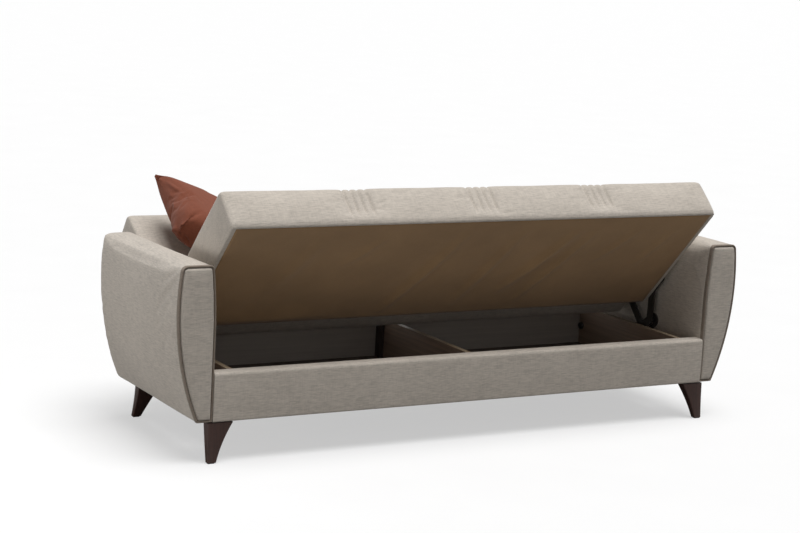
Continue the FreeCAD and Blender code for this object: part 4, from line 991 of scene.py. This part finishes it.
class SOFABED_OT_pillow(bpy.types.Operator):
    """Makes the loose cushion in the corner of seat and back"""

    bl_idname = "sofabed.pillow"
    bl_label = "Loose cushion"

    def execute(self, context):
        bpy.ops.object.select_all(action="DESELECT")
        cut, side, pull = 0.186, 0.184, 0.016
        bpy.ops.mesh.primitive_cube_add(size=1, scale=(cut * 2, cut * 2, 0.012))
        piece = named("loose_cushion")
        edit(piece, "FACE", everything, bpy.ops.mesh.subdivide, number_cuts=46)
        points = points_of(piece)
        u, w = points[:, 0] / cut, points[:, 1] / cut
        dome = np.sqrt(np.clip((1 - u ** 2) * (1 - w ** 2), 0, 1))
        points[:, 2] += np.sign(points[:, 2]) * dome * 0.026
        points[:, 0] -= np.sign(u) * pull * (1 - w ** 2) * np.abs(u)
        points[:, 1] -= np.sign(w) * pull * (1 - u ** 2) * np.abs(w)
        set_points(piece, points)
        swollen(piece, 5.5, 0.045, frames=24)
        points = points_of(piece)
        points[:, :2] *= side / np.abs(points[:, :2]).max()
        for way, full in ((-1, 0.064), (1, 0.078)):
            face = points[:, 2] * way > 0
            points[face, 2] *= full / np.abs(points[face, 2]).max()
        squashed, reach, depth = np.array([-side, -side, 0.0]), 0.090, 0.064
        near = np.exp(-(np.linalg.norm(points - squashed, axis=1) / reach) ** 2)
        points -= (squashed / np.linalg.norm(squashed)) * (depth * near)[:, None]
        set_points(piece, points)
        creases(piece, self.folds())
        turn = Vector((-1.9735, -1.6674, 0.0441))
        spin = Quaternion(turn.normalized(), turn.length).to_matrix().to_4x4()
        placed(piece, Matrix.Translation((-0.7190, 0.1600, 0.6540)) @ spin)
        smooth(piece)
        dressed(piece, finishes()["pillow"], "back", ["throw_pillow"])
        return {"FINISHED"}

    def folds(self):
        """Folds that fan out from the corners into the faces, most at the corner that shows."""
        chance = random.Random(4)
        lines = []
        for face in (-1, 1):
            for corner in ((-1, -1), (-1, 1), (1, -1), (1, 1)):
                tip = corner == (1, -1)
                count = 9 if tip else 5
                for number in range(count):
                    aim = (number + 0.5) / count * math.pi / 2 + chance.uniform(-0.05, 0.05)
                    reach = chance.uniform(0.13, 0.27) if tip else chance.uniform(0.07, 0.13)
                    start, end = ((corner[0] * (0.172 - far * math.cos(aim)),
                                   corner[1] * (0.172 - far * math.sin(aim)), face * z)
                                  for far, z in ((0.030, 0.014), (reach, 0.056)))
                    height = (-0.0110, 0.0075, -0.0085)[number % 3]
                    lines.append((start, end, chance.uniform(0.0050, 0.0085), height))
        return lines


class SOFABED_OT_legs(bpy.types.Operator):
    """Makes the four tapered legs"""

    bl_idname = "sofabed.legs"
    bl_label = "Legs"

    def execute(self, context):
        outer, top, foot, back = 0.955, BASE - 0.003, 0.003, REAR - 0.070
        inside = [outer - 0.085, outer - 0.051, outer - 0.029]
        stations = {
            "front": ([FRONT + 0.003, FRONT, FRONT - 0.005],
                      [FRONT + 0.041, FRONT + 0.029, FRONT + 0.015]),
            "rear": ([back - 0.038, back - 0.020, back + 0.008],
                     [back, back + 0.009, back + 0.028])}
        for name, depths in stations.items():
            rings = []
            for t in np.linspace(0, 1, 13):
                inner, low, high = (self.between(t, values) for values in (inside, *depths))
                rings.append(self.ring(inner, outer, low, high, top + (foot - top) * t))
            right = skin(f"leg_{name}_right_turned", rings)
            smooth(right, 40)
            left = copied(right, f"leg_{name}_left_turned")
            left.data.transform(Matrix.Scale(-1, 4, (1, 0, 0)))
            outward(left)
            for piece, side_name in ((right, "right"), (left, "left")):
                dressed(piece, finishes()["leg"], "base", [f"leg_{name}_{side_name}"])
        return {"FINISHED"}

    def between(self, t, values):
        """A smooth curve through a leg's top, middle and foot."""
        a, b, c = values
        knee = 0.506
        return (a * (t - knee) * (t - 1) / knee + b * t * (t - 1) / (knee * (knee - 1))
                + c * t * (t - knee) / (1 - knee))

    def ring(self, x0, x1, y0, y1, z):
        """A level rectangle with rounded corners."""
        r, points = 0.0035, []
        for cx, cy, start in ((x1 - r, y1 - r, 0), (x0 + r, y1 - r, 90), (x0 + r, y0 + r, 180),
                              (x1 - r, y0 + r, 270)):
            for step in range(4):
                angle = math.radians(start + step * 30)
                points.append((cx + r * math.cos(angle), cy + r * math.sin(angle), z))
        return points


class SOFABED_OT_fittings(bpy.types.Operator):
    """Makes the caps of the arm bolts"""

    bl_idname = "sofabed.fittings"
    bl_label = "Fittings"

    def execute(self, context):
        cap = self.cap()
        spin = Matrix.Rotation(math.radians(-90), 4, "Y")
        places = [(y, side) for y in (-0.3239, 0.2178) for side in (-1, 1)]
        for number, (y, side) in enumerate(places):
            piece = copied(cap, f"arm_bolt_cap_{number + 1}")
            placed(piece, Matrix.Translation((side * BOARD_INNER, y, 0.2125)) @ spin)
            dressed(piece, finishes()["plastic"], "base")
        bpy.data.objects.remove(cap)
        return {"FINISHED"}

    def cap(self):
        """A moulded cap with a stepped rim and a domed middle."""
        radius = 0.0140
        bpy.ops.object.select_all(action="DESELECT")
        bpy.ops.mesh.primitive_circle_add(vertices=32, radius=radius, fill_type="NGON")
        piece = named("cap_master")
        pick(piece, "FACE", everything)
        for wanted, rise in ((0.0140, 0.0030), (0.0132, 0.0015), (0.0118, 0.0030),
                             (0.0090, 0.0010), (0.0040, 0.0004)):
            bpy.ops.mesh.extrude_region_move(TRANSFORM_OT_translate={"value": (0, 0, rise)})
            share = wanted / radius
            bpy.ops.transform.resize(value=(share, share, 1))
            radius = wanted
        leave()
        outward(piece)
        smooth(piece, 40)
        return piece


class SOFABED_OT_finishes(bpy.types.Operator):
    """Gives every carried-over part of the model its finish"""

    bl_idname = "sofabed.finishes"
    bl_label = "Finishes"

    def execute(self, context):
        for key, names in NODE_FINISHES.items():
            for name in names:
                node = frame["nodes"][name]
                node.data.materials.clear()
                node.data.materials.append(finishes()[key])
        return {"FINISHED"}


class SOFABED_OT_stage(bpy.types.Operator):
    """Sets the floor, the light and the camera"""

    bl_idname = "sofabed.stage"
    bl_label = "Stage"

    def execute(self, context):
        scene = context.scene
        scene.view_settings.view_transform = "Standard"
        self.floor()
        self.light(scene)
        self.camera(scene)
        return {"FINISHED"}

    def floor(self):
        """A plain white floor that keeps the sofa's soft shadow."""
        bpy.ops.object.select_all(action="DESELECT")
        bpy.ops.mesh.primitive_plane_add(size=600)
        floor = named("studio_floor")
        made, tree, shader, at_place = finish_of("floor_painted_white", {"Roughness": 0.9})
        speck = add(tree, "ShaderNodeTexNoise", {"Scale": 3.0}, at_place)
        tones = add(tree, "ShaderNodeValToRGB", links={"Fac": speck.outputs["Fac"]}, stops=[
            (0.3, (0.87, 0.87, 0.87, 1)), (0.7, (0.89, 0.89, 0.89, 1))])
        ray = add(tree, "ShaderNodeLightPath")
        bounce = add(tree, "ShaderNodeMix", {"data_type": "RGBA", "A": (0.215, 0.212, 0.207, 1)}, {
            "Factor": ray.outputs["Is Camera Ray"], "B": tones.outputs["Color"]})
        link(shader, {"Base Color": bounce.outputs["Result"]})
        glow = add(tree, "ShaderNodeEmission", {"Color": (1, 1, 1, 1), "Strength": 1.0})
        share = add(tree, "ShaderNodeMath", {"operation": "MULTIPLY", 1: 0.52},
                    {0: ray.outputs["Is Camera Ray"]})
        both = add(tree, "ShaderNodeMixShader", links={
            0: share.outputs[0], 1: shader.outputs["BSDF"], 2: glow.outputs["Emission"]})
        output = next(n for n in tree.nodes if n.type == "OUTPUT_MATERIAL")
        link(output, {"Surface": both.outputs["Shader"]})
        floor.data.materials.append(made)

    def light(self, scene):
        """Even light from the whole room, a wide soft lamp above, and a low one at the left."""
        world = bpy.data.worlds.new("studio")
        world.use_nodes = True
        scene.world = world
        tree = world.node_tree
        tree.nodes.clear()
        room = add(tree, "ShaderNodeBackground", {"Color": (1, 1, 1, 1), "Strength": 0.17})
        white = add(tree, "ShaderNodeBackground", {"Color": (1, 1, 1, 1), "Strength": 1.0})
        ray = add(tree, "ShaderNodeLightPath")
        seen = add(tree, "ShaderNodeMath", {"operation": "MAXIMUM"},
                   {0: ray.outputs["Is Camera Ray"], 1: ray.outputs["Is Glossy Ray"]})
        shown = add(tree, "ShaderNodeMath", {"operation": "MAXIMUM"},
                    {0: seen.outputs[0], 1: ray.outputs["Is Transmission Ray"]})
        mix = add(tree, "ShaderNodeMixShader", links={
            0: shown.outputs[0], 1: room.outputs["Background"], 2: white.outputs["Background"]})
        add(tree, "ShaderNodeOutputWorld", links={"Surface": mix.outputs["Shader"]})
        high = bpy.data.lights.new("lamp_high", "SUN")
        high.angle = math.radians(42)
        high.energy = 2.95
        side = bpy.data.lights.new("lamp_side", "AREA")
        side.shape = "RECTANGLE"
        side.size, side.size_y = 2.4, 0.5
        side.energy = 9.0
        for data, place, way in ((high, (0, 0, 3), (0.12, -0.15, 0.97)),
                                 (side, (-2.6, -0.1, 0.34), (-1, 0, 0))):
            lamp = bpy.data.objects.new(data.name, data)
            scene.collection.objects.link(lamp)
            lamp.location = place
            lamp.rotation_euler = Vector(way).to_track_quat("Z", "Y").to_euler()
            lamp.visible_camera = False

    def camera(self, scene):
        """The camera where the photograph was taken from."""
        yaw, pitch, roll = (math.radians(a) for a in (30.29, 9.776, -3.245))
        forward = Vector((math.sin(yaw) * math.cos(pitch), math.cos(yaw) * math.cos(pitch),
                          -math.sin(pitch)))
        right = Vector((math.cos(yaw), -math.sin(yaw), 0))
        down = forward.cross(right)
        across = right * math.cos(roll) + down * math.sin(roll)
        below = down * math.cos(roll) - right * math.sin(roll)
        data = bpy.data.cameras.new("camera")
        image_width, focal_pixels, sensor = 800, 1976.77, 36
        data.lens = focal_pixels / image_width * sensor
        data.sensor_width = sensor
        camera = bpy.data.objects.new("camera", data)
        scene.collection.objects.link(camera)
        turn = Matrix((across, -below, -forward)).transposed().to_4x4()
        camera.matrix_world = Matrix.Translation((-3.4341, -5.7526, 1.6594)) @ turn
        scene.camera = camera


OPERATORS = (SOFABED_OT_stage, SOFABED_OT_finishes, SOFABED_OT_arms, SOFABED_OT_rail,
             SOFABED_OT_rear_cover, SOFABED_OT_seat, SOFABED_OT_back, SOFABED_OT_pillow,
             SOFABED_OT_legs, SOFABED_OT_fittings)


class SOFABED_PT_panel(bpy.types.Panel):
    """Lists the steps that dress the sofa bed"""

    bl_idname = "SOFABED_PT_panel"
    bl_label = "Sofa bed"
    bl_space_type = "VIEW_3D"
    bl_region_type = "UI"
    bl_category = "Sofa bed"

    def draw(self, context):
        for group in (context.scene.sofabed_sizes, context.scene.sofabed_colours):
            column = self.layout.column()
            for key in group.__annotations__:
                column.prop(group, key)
        for operator in OPERATORS:
            self.layout.operator(operator.bl_idname)


CLASSES = (SofaBedSizes, SofaBedColours, *OPERATORS, SOFABED_PT_panel)


def register():
    """Adds the classes and the scene's settings."""
    for item in CLASSES:
        bpy.utils.register_class(item)
    bpy.types.Scene.sofabed_sizes = bpy.props.PointerProperty(type=SofaBedSizes)
    bpy.types.Scene.sofabed_colours = bpy.props.PointerProperty(type=SofaBedColours)


def unregister():
    """Removes them."""
    del bpy.types.Scene.sofabed_sizes
    del bpy.types.Scene.sofabed_colours
    for item in reversed(CLASSES):
        bpy.utils.unregister_class(item)


def main():
    """Builds everything in order."""
    register()
    bpy.ops.sofabed.stage()
    bpy.ops.sofabed.finishes()
    bpy.ops.sofabed.arms()
    bpy.ops.sofabed.rail()
    bpy.ops.sofabed.rear_cover()
    bpy.ops.sofabed.seat()
    bpy.ops.sofabed.back()
    bpy.ops.sofabed.pillow()
    bpy.ops.sofabed.legs()
    bpy.ops.sofabed.fittings()


if __name__ == "__main__":
    main()
